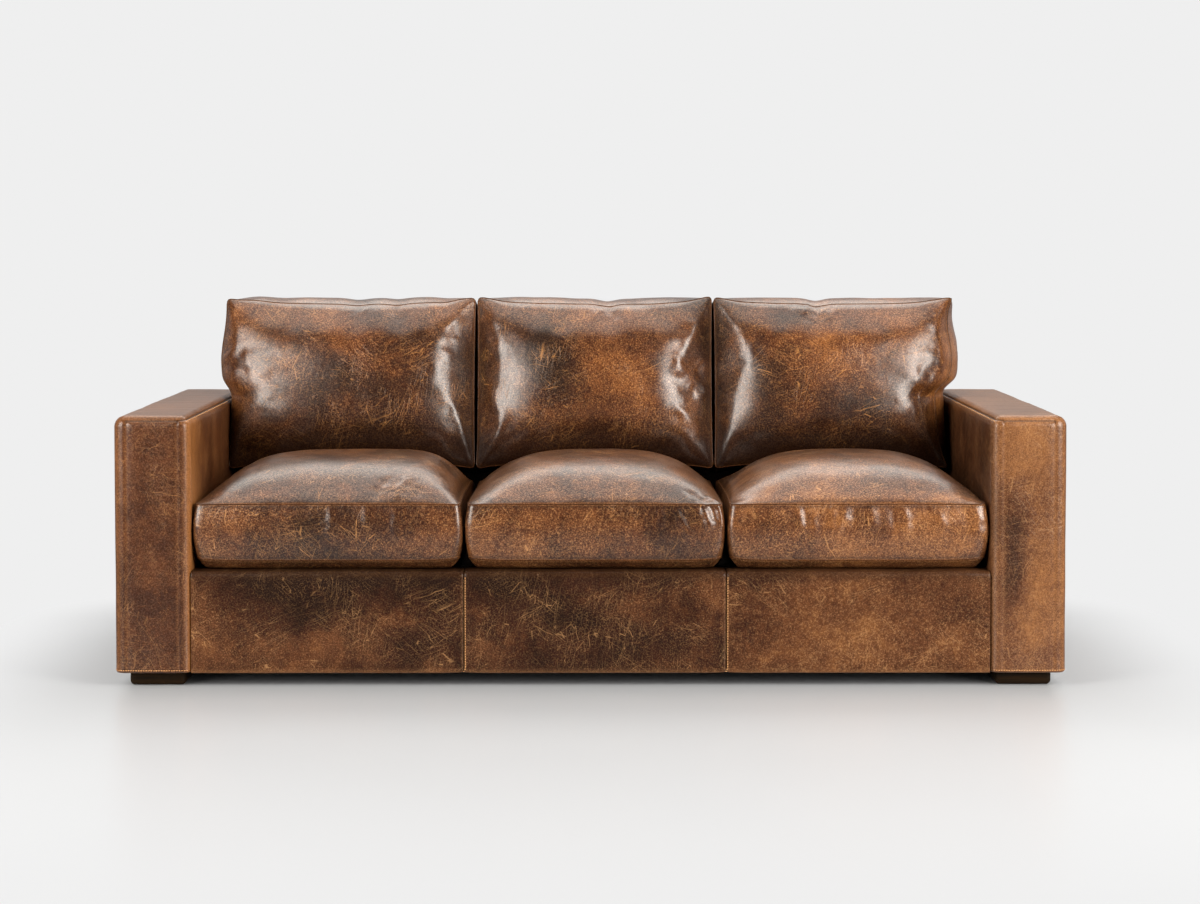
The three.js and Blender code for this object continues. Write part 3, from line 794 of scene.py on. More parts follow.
def base_profile():
    """The base leather's section in y and z, from the turned hem up the front and back over the rail."""
    r, front, top, foot = BASE_RADIUS, BASE_LOW.y, BASE_HIGH.z, HEM + 3 * MM
    points = [(front + 7 * MM, HEM + 0.2 * MM), (front + 3 * MM, HEM + 0.2 * MM)]
    points.append((front + 0.9 * MM, HEM + 0.9 * MM))
    points += [(front, z) for z in np.linspace(foot, top - r, 30)]
    for angle in np.linspace(math.pi, math.pi / 2, 7)[1:]:
        points.append((front + r + r * math.cos(angle), top - r + r * math.sin(angle)))
    points += [(y, top) for y in np.linspace(front + r, BASE_HIGH.y, 9)[1:]]
    return np.array(points)


def base_surface(x, profile, seams):
    """Points of the base leather for each x and point of its section, and their distances to a seam."""
    tangent = unit(np.gradient(profile, axis=0))
    outward = np.stack([-tangent[:, 1], tangent[:, 0]], axis=1)
    shape = (len(x), len(profile))
    points = np.zeros((*shape, 3))
    points[..., 0] = x[:, None]
    points[..., 1:] = profile
    flat, height = points.reshape(-1, 3), points[..., 2] - HEM
    gap = np.min([np.abs(x - s) for s in seams], axis=0)[:, None]
    puff = 2.4 * MM * rise(gap, 12 * MM) - GROOVE * bell(gap, 2.0 * MM)
    waves = BASE_WAVES(flat * [7.0, 9.0, 9.0], 3).reshape(shape)
    ripples = BASE_WAVES(flat * [30.0, 5.0, 4.0] + 5, 2).reshape(shape)
    stitch_dip = 0.8 * MM * bell(height - 6 * MM, 2.5 * MM) * (outward[:, 0] < -0.9)
    up = np.clip(height / (20 * MM), 0, 1)
    out = puff + rise(gap, 20 * MM) * up * (1.3 * waves + 0.45 * ripples) * MM - stitch_dip
    points[..., 1:] += outward * out[..., None]
    return points, np.broadcast_to(gap, shape)


def make_base():
    profile = base_profile()
    cuts = [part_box(f"base_leather_{s}")[0].x for s in SIDES] + [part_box("base_leather_left")[1].x]
    seams, top = cuts[1:-1], BASE_HIGH.z
    for side, a, b in zip(SIDES, cuts[:-1], cuts[1:]):
        a, b = a + 0.15 * MM, b - 0.15 * MM
        x = grid_lines(a, b, 9 * MM, [a, b], 2.4 * MM, 12 * MM)
        points, gap = base_surface(x, profile, seams)
        quads = grid_quads(*gap.shape)
        points, gap = points.reshape(-1, 3), gap.ravel()
        z = points[:, 2]
        edge = np.maximum(0.14 * bell(gap - 3.4 * MM, 2.6 * MM), 0.1 * bell(z - top + 4 * MM, 9 * MM))
        edge = np.maximum(edge, 0.3 * np.exp(-(z - HEM) / (3.5 * MM)))
        # Painted shade darkens the top of the front, where the seat cushions overhang it.
        soil = np.maximum(0.8 * bell(gap, 1.6 * MM), 0.6 * smoothstep(z, top - 34 * MM, top))
        tone, hide = stains_and_shade("base_" + side, points[:, [0, 2]]), points[:, [0, 2, 1]] * [1, 1, 0]
        looks = {"edge": edge, "soil": soil, "tone": tone, "hide": hide}
        piece = make_object(f"base_cover_{side}", points, quads, LEATHERS["base_" + side], **looks)
        thicken(piece)
        finish_piece(piece, "leather", f"base_leather_{side}")

    def on_front(x, z):
        line = np.stack([np.full_like(z, BASE_LOW.y), z], axis=1)
        points, _ = base_surface(x, line, seams)
        return points

    z = np.linspace(HEM + 4 * MM, top - 12 * MM, 60)
    paths = [on_front(np.array([seam + 3.4 * MM]), z)[0] for seam in seams]
    x = np.linspace(cuts[0] + 3 * MM, cuts[-1] - 3 * MM, 700)
    paths.append(on_front(x, np.array([HEM + 5.8 * MM, HEM + 6 * MM]))[:, 1])
    sew("base_stitching", [(path, np.tile([0.0, -1.0, 0.0], (len(path), 1))) for path in paths], 6)


# ---- Back ---------------------------------------------------------------------------------------
LEAN = math.radians(11.2)
BACK_RADIUS = 16 * MM
BACK_WAVES = Noise(31)


def back_profile(low, high, rear_seam):
    """The inside cover's section in y and z: up the leaning front, over the top and down the rear."""
    r, under, rear = BACK_RADIUS, high.z - BACK_RADIUS, high.y - BACK_RADIUS
    centre = low.y + (under - low.z) * math.tan(LEAN) + r
    points = [(low.y + (z - low.z) * math.tan(LEAN), z) for z in np.linspace(low.z, under, 22)]
    points += [(centre + r * math.cos(t), under + r * math.sin(t)) for t in np.linspace(2.8, math.pi / 2, 6)]
    points += [(y, high.z) for y in np.linspace(centre, rear, 8)[1:]]
    points += [(rear + r * math.cos(t), under + r * math.sin(t)) for t in np.linspace(math.pi / 2, 0, 6)[1:]]
    points += [(high.y, under - 5 * MM), (high.y - 1 * MM, rear_seam)]
    # Under the outside panel the cover runs on down, so that its ends are closed.
    points += [(high.y - 6 * MM, z) for z in np.linspace(rear_seam - 8 * MM, low.z, 18)]
    return np.array(points)


def make_back_inside():
    low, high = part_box("back_inside_cover")
    rear_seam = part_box("back_outside_leather")[1].z
    profile = back_profile(low, high, rear_seam)
    tangent = unit(np.gradient(profile, axis=0))
    outward = np.stack([-tangent[:, 1], tangent[:, 0]], axis=1)
    spine = np.full(len(profile), (low.y + high.y) / 2 + 60 * MM)
    inner = np.stack([spine, np.minimum(profile[:, 1], high.z - 30 * MM)], axis=1)
    # Rings from one closed end to the other: each one's share of the full section, and its x.
    ends = [(0.0, 0.0), (0.35, 0.0), (0.7, 0.0), (0.95, 0.0), (1.0, 2.5 * MM), (1.0, 7 * MM)]
    run = np.arange(18 * MM - high.x, high.x - 18 * MM, 14 * MM)
    rings = [(s, d - high.x) for s, d in ends] + [(1.0, x) for x in run]
    rings += [(s, high.x - d) for s, d in ends[::-1]]
    points = []
    for share, x in rings:
        ring = inner + (profile - inner) * share
        wave = BACK_WAVES(np.stack([np.full(len(ring), x * 6), ring[:, 0] * 8, ring[:, 1] * 8], 1), 2)
        ring = ring + outward * (wave * 1.2 * MM + 1.0 * MM)[:, None] * (share == 1.0)
        points += [(x, y, z) for y, z in ring]
    points = np.array(points)
    x, y, z = points.T
    edge = 0.35 * smoothstep(z, high.z - 10 * MM, high.z)
    soil = 0.6 * smoothstep(-z, -rear_seam - 2 * MM, -rear_seam)
    looks = {"edge": edge, "soil": soil, "hide": np.stack([x, y + z + y.mean(), 0 * x], axis=1)}
    quads = grid_quads(len(rings), len(profile))
    cover = make_object("back_cover_inside", points, quads, LEATHERS["rear"], **looks)
    cover.modifiers.new("weld", "WELD").merge_threshold = 0.05 * MM
    apply_modifiers(cover)
    thicken(cover)
    finish_piece(cover, "leather", "back_inside_cover")


def make_back_outside():
    low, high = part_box("back_outside_leather")
    low.x, high.x = low.x - 5 * MM, high.x + 5 * MM
    seams = [BASE_LOW.x, BASE_HIGH.x]
    xs = grid_lines(low.x, high.x, 13 * MM, [low.x, *seams, high.x], 3 * MM, 12 * MM)
    zs = grid_lines(low.z, high.z, 13 * MM, [low.z, high.z], 3 * MM, 12 * MM)
    gx, gz = np.meshgrid(xs, zs, indexing="ij")
    flat = np.stack([gx, np.full_like(gx, high.y), gz], axis=-1).reshape(-1, 3)
    gap = np.min([np.abs(flat[:, 0] - s) for s in (*seams, low.x, high.x)] + [high.z - flat[:, 2]], axis=0)
    puff = 3.2 * MM * rise(gap, 14 * MM) - GROOVE * bell(gap, 2.4 * MM)
    waves = BACK_WAVES(flat * [5, 5, 4] + 9, 3) * 1.6 + BACK_WAVES(flat * [22, 3, 3] + 3, 2) * 0.5
    flat[:, 1] += puff + rise(gap, 30 * MM) * waves * MM
    edge, soil = 0.25 * bell(gap - 3.6 * MM, 2.6 * MM), 0.7 * bell(gap, 1.7 * MM)
    looks = {"edge": edge, "soil": soil, "hide": flat[:, [0, 2, 1]] * [1, 1, 0]}
    quads = grid_quads(len(xs), len(zs), flip=True)
    panel = make_object("back_cover_outside", flat, quads, LEATHERS["rear"], **looks)
    thicken(panel)
    finish_piece(panel, "leather", "back_outside_leather")

    y, foot, top = high.y + 0.3 * MM, low.z + 5 * MM, high.z - 8 * MM
    paths = [np.linspace((s + 3.6 * MM, y, foot), (s + 3.6 * MM, y, top), 80) for s in seams]
    y, foot = high.y + 2.6 * MM, low.z + 6 * MM
    paths.append(np.linspace((low.x + 6 * MM, y, foot), (high.x - 6 * MM, y, foot), 400))
    sew("back_stitching", [(path, np.tile([0.0, 1.0, 0.0], (len(path), 1))) for path in paths], 8)


# ---- Feet ---------------------------------------------------------------------------------------
FOOT_RADIUS = 11 * MM


def make_feet():
    wobble, r = Noise(41), FOOT_RADIUS
    for place in ("front_right", "front_left", "rear_right", "rear_left"):
        low, high = (np.array(c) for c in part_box("foot_" + place))
        lines = [grid_lines(a, b, 9 * MM, [a, b], 2 * MM, r) for a, b in zip(low[:2], high[:2])]
        lines.append(grid_lines(low[2], high[2], 6 * MM, [low[2]], 2 * MM, r))
        raw, quads = box_surface(lines)
        core = np.clip(raw, low + r, [high[0] - r, high[1] - r, 1.0])
        normal = unit(raw - core)
        points = core + normal * r
        points[raw[:, 2] > high[2] - NEAR, 2] = high[2]
        curved = 1 - np.abs(normal).max(axis=1)
        knocked = np.clip(wobble(points * 38.0, 2), 0, 1) * curved * 4 * MM
        points = points - normal * knocked[:, None]
        points[:, 2] = np.clip(points[:, 2], low[2], high[2])
        edge = np.clip(curved * 3.5, 0, 1)
        foot = make_object("foot_block_" + place, points, quads, FOOT_WOOD, edge=edge)
        finish_piece(foot, "foot_wood", "foot_" + place)


# ---- Loose cushions -----------------------------------------------------------------------------
# u, v and w run from -1 to 1 over a cushion's width, its depth or height, and its thickness.
CELL = 11 * MM
SEAT_BAND, SEAT_CROWN = (0.298, 0.432), 88 * MM
BACK_HEIGHT, BACK_BAND = 0.436, 0.150
BACK_CLIMB, BACK_DOME = 28 * MM, 52 * MM
ARM_CLEAR = ARM_HIGH[2] + 6 * MM


class Cushion:
    """One loose cushion: a lattice of leather round a box, and how freely each part moves."""

    def __init__(self, kind, side):
        self.kind, self.side = kind, side
        self.node = f"{kind}_cushion_{side}"
        self.outward = {"right": -1, "left": 1}.get(side, 0)
        self.low, self.high = (np.array(c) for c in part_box(self.node))
        self.middle = (self.low + self.high) / 2
        self.half = (self.high - self.low) / 2
        if kind == "seat":
            self.half[2] = (SEAT_BAND[1] - SEAT_BAND[0]) / 2
        else:
            self.half[1:] = BACK_HEIGHT / 2, BACK_BAND / 2
        self.uvw, self.quads = box_surface([np.linspace(-1, 1, round(2 * h / CELL) + 1) for h in self.half])
        # The borders are held by their neighbours, so they keep less of the simulated bulge.
        self.give = np.where(on_panel(self.uvw), 0.6, 0.4)

    def shape(self):
        return (seat_shape if self.kind == "seat" else back_shape)(self, *self.uvw.T)


def on_panel(uvw):
    """Which points lie on one of the two panels, with their rims."""
    return np.abs(uvw[:, 2]) > 1 - NEAR


def on_seam(uvw):
    """Which points lie on one of the two seams between a panel and the border."""
    return on_panel(uvw) & (np.abs(uvw[:, :2]).max(axis=1) > 1 - NEAR)


def seam_gap(c, uvw):
    """Distance to a seam: along the panels from their rim, and along the border from its two seams."""
    room = (1 - np.abs(uvw)) * c.half
    return np.where(on_panel(uvw), np.minimum(room[:, 0], room[:, 1]), room[:, 2])


def round_corners(x, y, half_x, half_y, radius):
    """Plan points of a rectangle, moved into the same rectangle with round corners."""
    core_x, core_y = half_x - radius, half_y - radius
    over_x, over_y = np.maximum(np.abs(x) - core_x, 0), np.maximum(np.abs(y) - core_y, 0)
    shrink = np.maximum(over_x, over_y) / np.maximum(np.hypot(over_x, over_y), 1e-9)
    shrink = np.where((over_x > 0) & (over_y > 0), shrink, 1)
    new_x = np.sign(x) * (np.minimum(np.abs(x), core_x) + over_x * shrink)
    new_y = np.sign(y) * (np.minimum(np.abs(y), core_y) + over_y * shrink)
    return new_x, new_y


def seat_shape(c, u, v, w):
    a, b = np.abs(u), np.abs(v)
    low = (1 - w) / 2
    bulge = np.where(np.maximum(a, b) > 1 - NEAR, 1 - w * w, 0)
    # The wall swells in the middle and turns in under itself at the bottom.
    half_x = c.half[0] - 6 * MM - 3 * MM * (1 - v * v) + 5 * MM * bulge - 1 * MM * low**3
    half_y = c.half[1] - 9 * MM - 3 * MM * (1 - u * u) + 9 * MM * bulge - 7 * MM * low**3
    radius = 18 * MM + 4 * MM * low**2 + 34 * MM * (v > 0)
    x, y = round_corners(u * half_x, v * half_y, half_x, half_y, radius)
    # At the rear the top seam is pressed down by the back cushion.
    press = 7 * MM * smoothstep(v, -0.6, 0.5)
    top = SEAT_BAND[1] - press - 16 * MM * (a * np.clip(v, 0, 1)) ** 5
    bottom = SEAT_BAND[0] + 7 * MM * (a * b) ** 8
    z = bottom + (top - bottom) * (w + 1) / 2
    # The photographed crown of the right cushion stays high until close to its inner side.
    power = np.where((c.side == "right") & (u > 0), 7.0, 3.0)
    across = np.clip(1 - a**power, 0, 1) ** 0.8
    front = np.clip(1 - b**3.0, 0, 1) ** 0.8
    rear = np.cos(np.clip(v, 0, 1) * math.pi / 2) ** 1.3
    crown = (SEAT_CROWN + press) * across * np.where(v < 0, front, rear)
    belly = np.minimum(1, 2.4 * (1 - a**9)) * np.minimum(1, 4.0 * (1 - b**6))
    z = z + crown * (w > 1 - NEAR)
    z = z - (SEAT_BAND[0] - c.low[2] - 1.5 * MM) * belly * (w < -1 + NEAR)
    return np.stack([x + c.middle[0], y + c.middle[1], z], axis=1)


# Where a back cushion's top seam dips or kinks: place in u, depth in millimetres, half width in u.
SEAM_DIPS = {
    "right": ((-0.78, -4, 0.12), (0.02, 4, 0.1), (0.35, 4, 0.09), (0.74, 2, 0.09), (0.9, -4, 0.1)),
    "middle": ((-0.93, -5, 0.12), (0.11, 7, 0.09), (0.45, 2, 0.2), (0.97, -6, 0.15)),
    "left": ((-0.95, -4, 0.12), (-0.12, 8, 0.08), (0.55, 1, 0.25), (0.9, -4, 0.15)),
}
# How far in from its two sides, in u, a back cushion's front turns down to the seam, by height in v.
CREST_AT = (-1.0, -0.6, -0.2, 0.2, 0.6, 1.0)
CRESTS = {
    "right": ((0.02, 0.08, 0.1, 0.12, 0.1, 0.03), (0.02, 0.1, 0.16, 0.2, 0.23, 0.03)),
    "middle": ((0.03, 0.2, 0.14, 0.2, 0.16, 0.03), (0.03, 0.22, 0.28, 0.28, 0.18, 0.03)),
    "left": ((0.03, 0.12, 0.15, 0.24, 0.2, 0.03), (0.02, 0.1, 0.12, 0.12, 0.1, 0.03)),
}


def back_shape(c, u, v, w):
    a, b = np.abs(u), np.abs(v)
    bulge, depth = 1 - w * w, (w + 1) / 2
    swollen = np.where(u * c.outward > 0, 1.0, 2.0) * MM * bulge * (1 - b**8) * (a > 1 - NEAR)
    # The ears stand out a little at the four corners.
    half_x = c.half[0] - 1 * MM - 2 * MM * (1 - v * v) + swollen + 2 * MM * b**10
    half_y = c.half[1] - 9 * MM * (1 - u * u) + 7 * MM * a**8
    x, h = round_corners(u * half_x, v * half_y, half_x, half_y, 12 * MM)
    # The top border swells, and the bottom one is pushed up by the seat's crown.
    lift = np.where(v > 0, 25 * MM * (1 - a**6), 16 * MM * (1 - a * a))
    h = h + lift * bulge * (b > 1 - NEAR)
    for at, dip, width in SEAM_DIPS[c.side]:
        h = h - dip * MM * bell(u - at, width) * smoothstep(v, 0.55, 1.0) * (0.35 + 0.65 * depth)
    # A side that faces the light wraps round: its front seam is drawn in between the corners.
    if c.side == "left":
        drawn = 30 * MM * (1 - b**3) ** 0.8 + 10 * MM
        x = x - drawn * smoothstep(u, 0.5, 1.0) * depth**2
    # From its seams the front panel climbs steeply to a crest, and then domes gently.
    turn = [np.interp(v, CREST_AT, crest) for crest in CRESTS[c.side]]
    turn = np.where(u < 0, *turn)
    climb = np.clip((1 - a) / turn, 0, 1) ** 0.85 * np.clip(1 - b**4, 0, 1) ** 0.7
    dome = (1 - a**3) * np.clip(1 - b**2.7, 0, 1) ** 0.7
    rear = 12 * MM * np.minimum(1, 1.6 * (1 - a**2.5) * (1 - b**2.5))
    t = w * BACK_BAND / 2
    t = t + (BACK_CLIMB * climb + BACK_DOME * dome) * (w > 1 - NEAR) - rear * (w < -1 + NEAR)
    # The cushion leans on the back.
    sin, cos = math.sin(LEAN), math.cos(LEAN)
    at_y = c.high[1] - (BACK_HEIGHT / 2 * sin + BACK_BAND / 2 * cos)
    at_z = c.low[2] + (BACK_HEIGHT / 2 * cos + BACK_BAND / 2 * sin)
    x, y, z = x + c.middle[0], at_y + h * sin - t * cos, at_z + h * cos + t * sin
    # Above the arms the outer cushions swell out over them.
    above = smoothstep(z, ARM_CLEAR, ARM_CLEAR + 45 * MM)
    belly = bell(z - ARM_CLEAR - 95 * MM, 80 * MM)
    swell = (15 + 14 * belly if c.side == "right" else 22 + 24 * belly) * smoothstep(w, -1.4, 0.2) * MM
    x = x + c.outward * swell * above * smoothstep(u * c.outward, 0.3, 1.0)
    return np.stack([x, y, z], axis=1)


# Ridges, and creases where the height is negative: half width and height in millimetres, and the path.
# Paths are in u and v over the front or top panel, and in u and w over the front border.
PANEL_FOLDS = {
    "back_cushion_right": (
        (14, -3, (0.86, 0.7), (0.8, 0.52), (0.82, 0.3)),
        (22, 4, (0.72, 0.66), (0.68, 0.3), (0.72, 0.0), (0.82, -0.4)),
        (10, 4, (0.8, -0.2), (0.88, -0.5), (0.98, -0.95)),
        (11, -4, (-1.0, 0.42), (-0.9, 0.38), (-0.78, 0.22)),
        (11, -3, (-1.0, 0.18), (-0.88, 0.18), (-0.74, 0.04)),
        (12, 4, (-1.0, 0.3), (-0.86, 0.29), (-0.7, 0.12)),
        (34, 4, (-0.74, 0.4), (-0.72, 0.0), (-0.74, -0.4)),
        (13, -3, (0.02, 1.0), (0.05, 0.9), (0.12, 0.75)),
        (13, -3, (0.35, 1.0), (0.36, 0.88), (0.43, 0.76)),
        (17, 3, (0.7, 1.0), (0.62, 0.88), (0.5, 0.8)),
    ),
    "back_cushion_middle": (
        (18, 3, (-0.8, 0.62), (-0.78, 0.4), (-0.84, 0.05), (-0.9, -0.28)),
        (13, 5, (-0.92, -0.26), (-0.78, -0.4), (-0.84, -0.7), (-1.0, -1.0)),
        (13, 5, (0.92, 0.8), (0.84, 0.6), (0.72, 0.28)),
        (12, 5, (0.71, 0.34), (0.7, 0.16), (0.8, 0.04), (0.92, -0.04)),
        (11, 4, (0.92, -0.02), (0.93, -0.14), (0.84, -0.24)),
        (13, -3, (0.8, 0.26), (0.92, 0.12)),
        (14, -3, (0.66, -0.02), (0.78, -0.14), (0.88, -0.18)),
        (12, 5, (0.62, -0.3), (0.76, -0.42), (0.88, -0.64), (1.0, -1.0)),
        (34, 4, (0.6, 0.6), (0.55, 0.0), (0.58, -0.5)),
        (12, -4, (0.11, 1.0), (0.14, 0.9), (0.24, 0.8)),
        (13, 3, (0.11, 1.0), (0.05, 0.88), (-0.06, 0.78)),
    ),
    "back_cushion_left": (
        (14, 3, (-0.8, 0.6), (-0.7, 0.34), (-0.73, 0.1)),
        (12, -6, (-0.12, 1.0), (-0.2, 0.86), (-0.26, 0.72)),
        (13, 4, (-0.12, 1.0), (-0.06, 0.88), (0.02, 0.78)),
        (11, 4, (-0.12, 0.98), (-0.22, 0.93), (-0.36, 0.86)),
        (16, 4, (0.98, 0.98), (0.9, 0.8), (0.84, 0.5)),
        (13, -3, (1.0, 0.1), (0.86, 0.06), (0.72, 0.14), (0.62, 0.22)),
        (14, 3.5, (1.0, -0.06), (0.84, -0.08), (0.7, -0.02), (0.6, 0.04)),
        (13, -2.5, (1.0, -0.14), (0.84, -0.2), (0.68, -0.16)),
        (15, 3, (1.0, 0.3), (0.84, 0.26), (0.7, 0.36)),
        (17, 3, (0.98, -0.24), (0.8, -0.32), (0.62, -0.3)),
        (34, 4, (0.6, 0.6), (0.62, 0.0), (0.6, -0.5)),
    ),
    "seat_cushion_middle": (
        (10, -5, (0.9, -1.0), (0.82, -0.93), (0.7, -0.86)),
        (9, 4, (0.97, -0.97), (0.88, -0.86)),
    ),
    "seat_cushion_right": (
        (11, -4, (0.36, -0.98), (0.38, -0.88), (0.46, -0.76)),
        (11, 4, (0.52, -0.98), (0.55, -0.86), (0.66, -0.74)),
        (10, -3, (0.66, -0.97), (0.7, -0.86)),
    ),
}
BORDER_FOLDS = {
    "seat_cushion_left": (
        (10, 2, (-0.47, 0.95), (-0.45, 0.5), (-0.42, -0.2)),
        (11, 2.2, (-0.36, 0.6), (-0.34, 0.1), (-0.33, -0.7)),
        (8, -2, (-0.41, 0.9), (-0.39, 0.2)),
        (10, 2.4, (-0.08, 0.95), (-0.13, 0.4), (-0.2, -0.3)),
        (10, 2, (-0.2, 0.9), (-0.2, 0.4), (-0.24, -0.2)),
        (10, -2, (-0.02, 0.9), (-0.04, 0.1)),
        (12, 2, (0.1, 0.95), (0.12, 0.0)),
        (11, 2.4, (0.35, 0.95), (0.37, 0.4), (0.36, -0.2)),
        (10, -2, (0.27, 0.9), (0.28, 0.1)),
        (13, 2, (0.62, 0.9), (0.64, 0.1), (0.62, -0.4)),
        (16, 3.5, (0.9, 0.98), (0.91, 0.3), (0.9, -0.6)),
    ),
    "seat_cushion_middle": (
        (9, 5, (0.83, 1.0), (0.86, 0.6), (0.9, -0.1)),
        (8, -5, (0.9, 1.0), (0.92, 0.7), (0.94, 0.35)),
        (8, 4, (0.97, 0.95), (0.985, 0.5), (0.99, 0.1)),
        (8, 2.5, (0.62, 0.95), (0.68, 0.3), (0.78, -0.3)),
        (8, 2, (0.5, 0.9), (0.52, 0.2)),
    ),
    "seat_cushion_right": (
        (9, 2.5, (0.02, 0.95), (0.03, 0.3), (0.0, -0.3)),
        (9, 2, (0.3, 0.95), (0.28, 0.2)),
        (8, 2, (0.52, 0.9), (0.5, 0.1), (0.53, -0.4)),
    ),
}
# The back cushions' folds are wider and lower than listed.
BACK_FOLD_WIDE, BACK_FOLD_HIGH = 1.25, 0.75
CUSHION_WAVES = Noise(53)


def smooth_path(path, count=28):
    """Points along a Catmull-Rom curve through the path's own points."""
    ends = np.vstack([2 * path[0] - path[1], path, 2 * path[-1] - path[-2]])
    points = []
    for along in np.linspace(0, len(path) - 1, count):
        k = min(int(along), len(path) - 2)
        t = along - k
        p0, p1, p2, p3 = ends[k : k + 4]
        bend = (2 * p0 - 5 * p1 + 4 * p2 - p3) * t**2 + (3 * p1 - p0 - 3 * p2 + p3) * t**3
        points.append((2 * p1 + (p2 - p0) * t + bend) / 2)
    return np.array(points)


def fold_height(flat, path, half_width):
    """How much of a fold each point of a flat panel takes, from 0 to 1. It thins out towards its ends."""
    line = smooth_path(path)
    best, share = np.full(len(flat), np.inf), np.zeros(len(flat))
    for k, (start, end) in enumerate(zip(line[:-1], line[1:])):
        along = end - start
        t = np.clip(((flat - start) @ along) / max(along @ along, 1e-12), 0, 1)
        gap = np.linalg.norm(flat - (start + t[:, None] * along), axis=1)
        nearer = gap < best
        best = np.where(nearer, gap, best)
        share = np.where(nearer, (k + t) / (len(line) - 1), share)
    thin = smoothstep(share, -0.05, 0.25) * (1 - smoothstep(share, 0.75, 1.05))
    # A fold wanders in width.
    return bell(best, half_width * (1 + 0.35 * np.sin(share * 19 + 40 * half_width))) * thin


def fold_cushion(c, uvw):
    """The height of all a cushion's folds, ripples and soft waves at each point, in metres."""
    front = uvw[:, 2] > 1 - NEAR
    border = (uvw[:, 1] < -1 + NEAR) & ~front
    total = np.zeros(len(uvw))
    for folds, axes, where in ((PANEL_FOLDS, [0, 1], front), (BORDER_FOLDS, [0, 2], border)):
        for half_width, height, *path in folds.get(c.node, ()):
            if c.kind == "back":
                half_width, height = BACK_FOLD_WIDE * half_width, BACK_FOLD_HIGH * height
            path = np.array(path) * c.half[axes]
            total += height * MM * fold_height(uvw[:, axes] * c.half[axes], path, half_width * MM) * where
    # Short puckers stand square to the seams, and slow waves lie everywhere.
    gap, room = seam_gap(c, uvw), (1 - np.abs(uvw)) * c.half
    spot = uvw * c.half + np.array([3.1, 1.7, 0.9]) * len(c.node) + 5.0 * c.middle[0]
    stretch = np.where((room[:, 1] < room[:, 0])[:, None], [46.0, 7.0, 7.0], [7.0, 46.0, 7.0])
    puckers = CUSHION_WAVES(spot * stretch, 2) * np.exp(-gap / (26 * MM)) * rise(gap, 3 * MM)
    waves = CUSHION_WAVES(spot * 7.0, 2) * rise(gap, 30 * MM)
    return total + 0.8 * MM * puckers + 1.5 * MM * waves


SIM_FRAMES, SIM_CAP, SIM_ROUNDS = 20, 20 * MM, 3
# How much larger each cushion's leather is cut than its shape, which is what wrinkles it.
SPARE_LEATHER = {
    "seat_cushion_right": 0.018,
    "seat_cushion_middle": 0.020,
    "seat_cushion_left": 0.030,
    "back_cushion_right": 0.040,
    "back_cushion_middle": 0.045,
    "back_cushion_left": 0.036,
}


def smoothed(moved, quads):
    """Evens a movement out between neighbouring points, leaving still the points that are still."""
    quads = np.array(quads)
    still = (np.abs(moved).max(axis=1) < 1e-7)[:, None]
    for _ in range(SIM_ROUNDS):
        total, count = np.zeros_like(moved), np.zeros(len(moved))
        for k in range(4):
            np.add.at(total, quads[:, k], moved[quads].sum(axis=1))
            np.add.at(count, quads[:, k], 4)
        moved = np.where(still, moved, total / count[:, None])
    return moved


def make_cloth(c, piece):
    """Cloth under pressure, held at the seams and underneath, and cut larger than its shape."""
    held = on_seam(c.uvw) | (c.uvw[:, 2] < -1 + NEAR)
    piece.vertex_groups.new(name="pins").add([int(k) for k in np.flatnonzero(held)], 1.0, "REPLACE")
    cloth = piece.modifiers.new("cloth", "CLOTH")
    settings = cloth.settings
    settings.quality = 6
    settings.mass = 0.4
    settings.tension_stiffness = settings.compression_stiffness = 20
    settings.shear_stiffness = 8
    settings.bending_stiffness = 3.0
    settings.use_pressure = True
    settings.uniform_pressure_force = 4.0
    settings.vertex_group_mass = "pins"
    settings.shrink_min = -SPARE_LEATHER[c.node]
    settings.effector_weights.gravity = 0.0
    cloth.collision_settings.use_collision = False
    cloth.collision_settings.use_self_collision = False
    cloth.point_cache.frame_start, cloth.point_cache.frame_end = 1, SIM_FRAMES


def simulate(cushions, pieces):
    """Inflates all the cushions together, and keeps their new shapes up to a cap."""
    for c, piece in zip(cushions, pieces):
        make_cloth(c, piece)
    scene = bpy.context.scene
    for number in range(1, SIM_FRAMES + 1):
        scene.frame_set(number)
    graph = bpy.context.evaluated_depsgraph_get()
    for c, piece in zip(cushions, pieces):
        modelled, result = read(piece.data.vertices, "co"), piece.evaluated_get(graph)
        moved = smoothed(read(result.to_mesh().vertices, "co") - modelled, c.quads)
        result.to_mesh_clear()
        size = np.linalg.norm(moved, axis=1)
        keep = SIM_CAP * np.tanh(size / SIM_CAP) / np.maximum(size, 1e-9)
        piece.modifiers.clear()
        piece.vertex_groups.clear()
        set_points(piece.data, modelled + moved * (keep * c.give)[:, None])
    scene.frame_set(1)


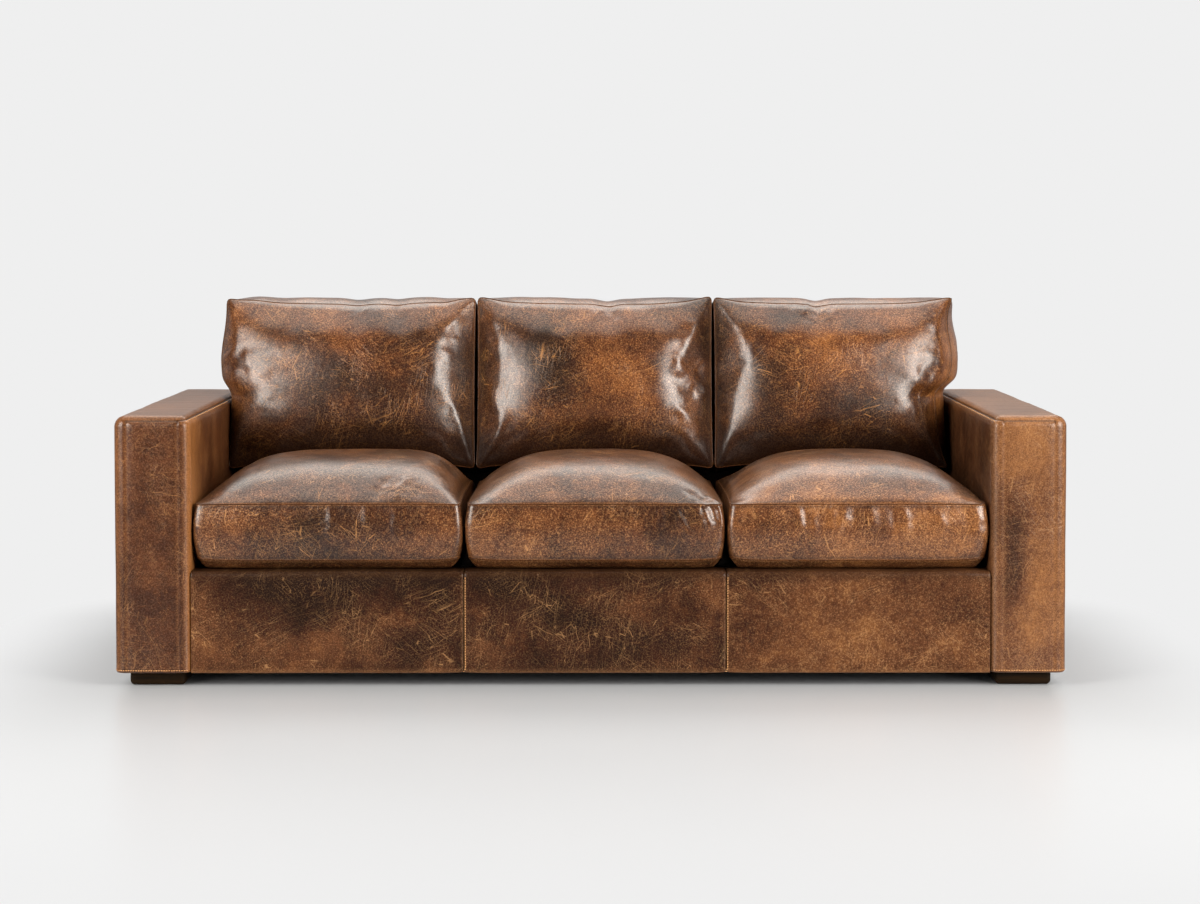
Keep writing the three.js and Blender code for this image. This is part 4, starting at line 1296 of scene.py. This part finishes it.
def make_cushions():
    cushions = [Cushion(kind, side) for kind in ("seat", "back") for side in SIDES]
    pieces = []
    for c in cushions:
        piece = make_object(f"{c.node}_cover", c.shape(), c.quads, LEATHERS[c.kind], uvw=c.uvw)
        # The seams stay fairly sharp when the mesh is refined.
        ends = np.zeros(len(piece.data.edges) * 2, int)
        piece.data.edges.foreach_get("vertices", ends)
        sharp = on_seam(c.uvw)[ends.reshape(-1, 2)].all(axis=1) * 0.6
        crease = piece.data.attributes.new("crease_edge", "FLOAT", "EDGE")
        crease.data.foreach_set("value", sharp.astype(np.float32))
        pieces.append(piece)
    simulate(cushions, pieces)
    for c, piece in zip(cushions, pieces):
        modifier = piece.modifiers.new("smooth", "SUBSURF")
        modifier.levels = modifier.render_levels = 1
        apply_modifiers(piece)
        uvw = read(piece.data.attributes["uvw"].data, "vector")
        detail_cushion(c, piece, uvw)
        finish_piece(piece, "cushion_leather", c.node)
        make_welts(c, piece, uvw)


def clear_neighbours(c, points):
    """Keeps a cushion inside its own place between its neighbours."""
    low, high = c.low[0] - 2 * MM, c.high[0] + 2 * MM
    if c.kind == "seat":
        points[:, 1] = np.maximum(points[:, 1], c.low[1] - 8 * MM)
        points[:, 2] = np.maximum(points[:, 2], c.low[2])
    else:
        above = smoothstep(points[:, 2], ARM_CLEAR, ARM_CLEAR + 40 * MM) * 26 * MM
        low, high = low - above * (c.side == "right"), high + above * (c.side == "left")
    points[:, 0] = np.clip(points[:, 0], low, high)
    return points


def detail_cushion(c, piece, uvw):
    mesh = piece.data
    points = read(mesh.vertices, "co") + read(mesh.vertex_normals, "vector") * fold_cushion(c, uvw)[:, None]
    set_points(mesh, clear_neighbours(c, points))
    gap = seam_gap(c, uvw)
    soil = 0.5 * bell(gap - 5 * MM, 4 * MM)
    if c.kind == "back":
        # Painted shade: the bottom of a back cushion is darkened where the seat crown shades it.
        soil = np.maximum(soil, 0.7 * smoothstep(-uvw[:, 1], 0.30, 0.95))
    own = [1.3 * c.middle[0], 0.7 * c.middle[0], 3.0 * (c.kind == "back")]
    hide = hide_of_box(uvw * c.half, -c.half, c.half) + own
    tone = stains_and_shade(c.node, uvw[:, :2])
    set_attributes(mesh, edge=0.3 * bell(gap, 3.0 * MM), soil=soil, tone=tone, hide=hide)


WELT_RADIUS, WELT_STEP = 1.3 * MM, 6 * MM


def make_welts(c, piece, uvw):
    """The raised seam line round each panel of a cushion."""
    points, made, faces = read(piece.data.vertices, "co"), np.zeros((0, 3)), []
    for level in (1, -1):
        ring = np.flatnonzero(on_seam(uvw) & (uvw[:, 2] * level > 0))
        u, v = uvw[ring, 0], uvw[ring, 1]
        order = np.where(v >= 1 - NEAR, 4 - u, 6 - v)
        order = np.where(v <= -1 + NEAR, u, np.where(u >= 1 - NEAR, 2 + v, order))
        path = points[ring[np.argsort(order)]]
        path = np.vstack([path, path[:1]])
        along = distance_along(path)
        at = np.linspace(0, along[-1], round(along[-1] / WELT_STEP), endpoint=False)
        rim, quads = tube(interpolate(at, along, path), WELT_RADIUS)
        faces += [tuple(len(made) + k for k in quad) for quad in quads]
        made = np.vstack([made, rim])
    looks = {"edge": np.full(len(made), 0.08), "soil": np.full(len(made), 0.25), "hide": made}
    welt = make_object(f"{c.node}_seams", made, faces, LEATHERS["seam"], **looks)
    finish_piece(welt, "cushion_leather")


make_camera()
make_stage()
make_lights()
make_world()
dress_cad_nodes()
for side, mirror in (("left", 1), ("right", -1)):
    make_arm(side, mirror)
make_base()
make_back_inside()
make_back_outside()
make_feet()
make_cushions()
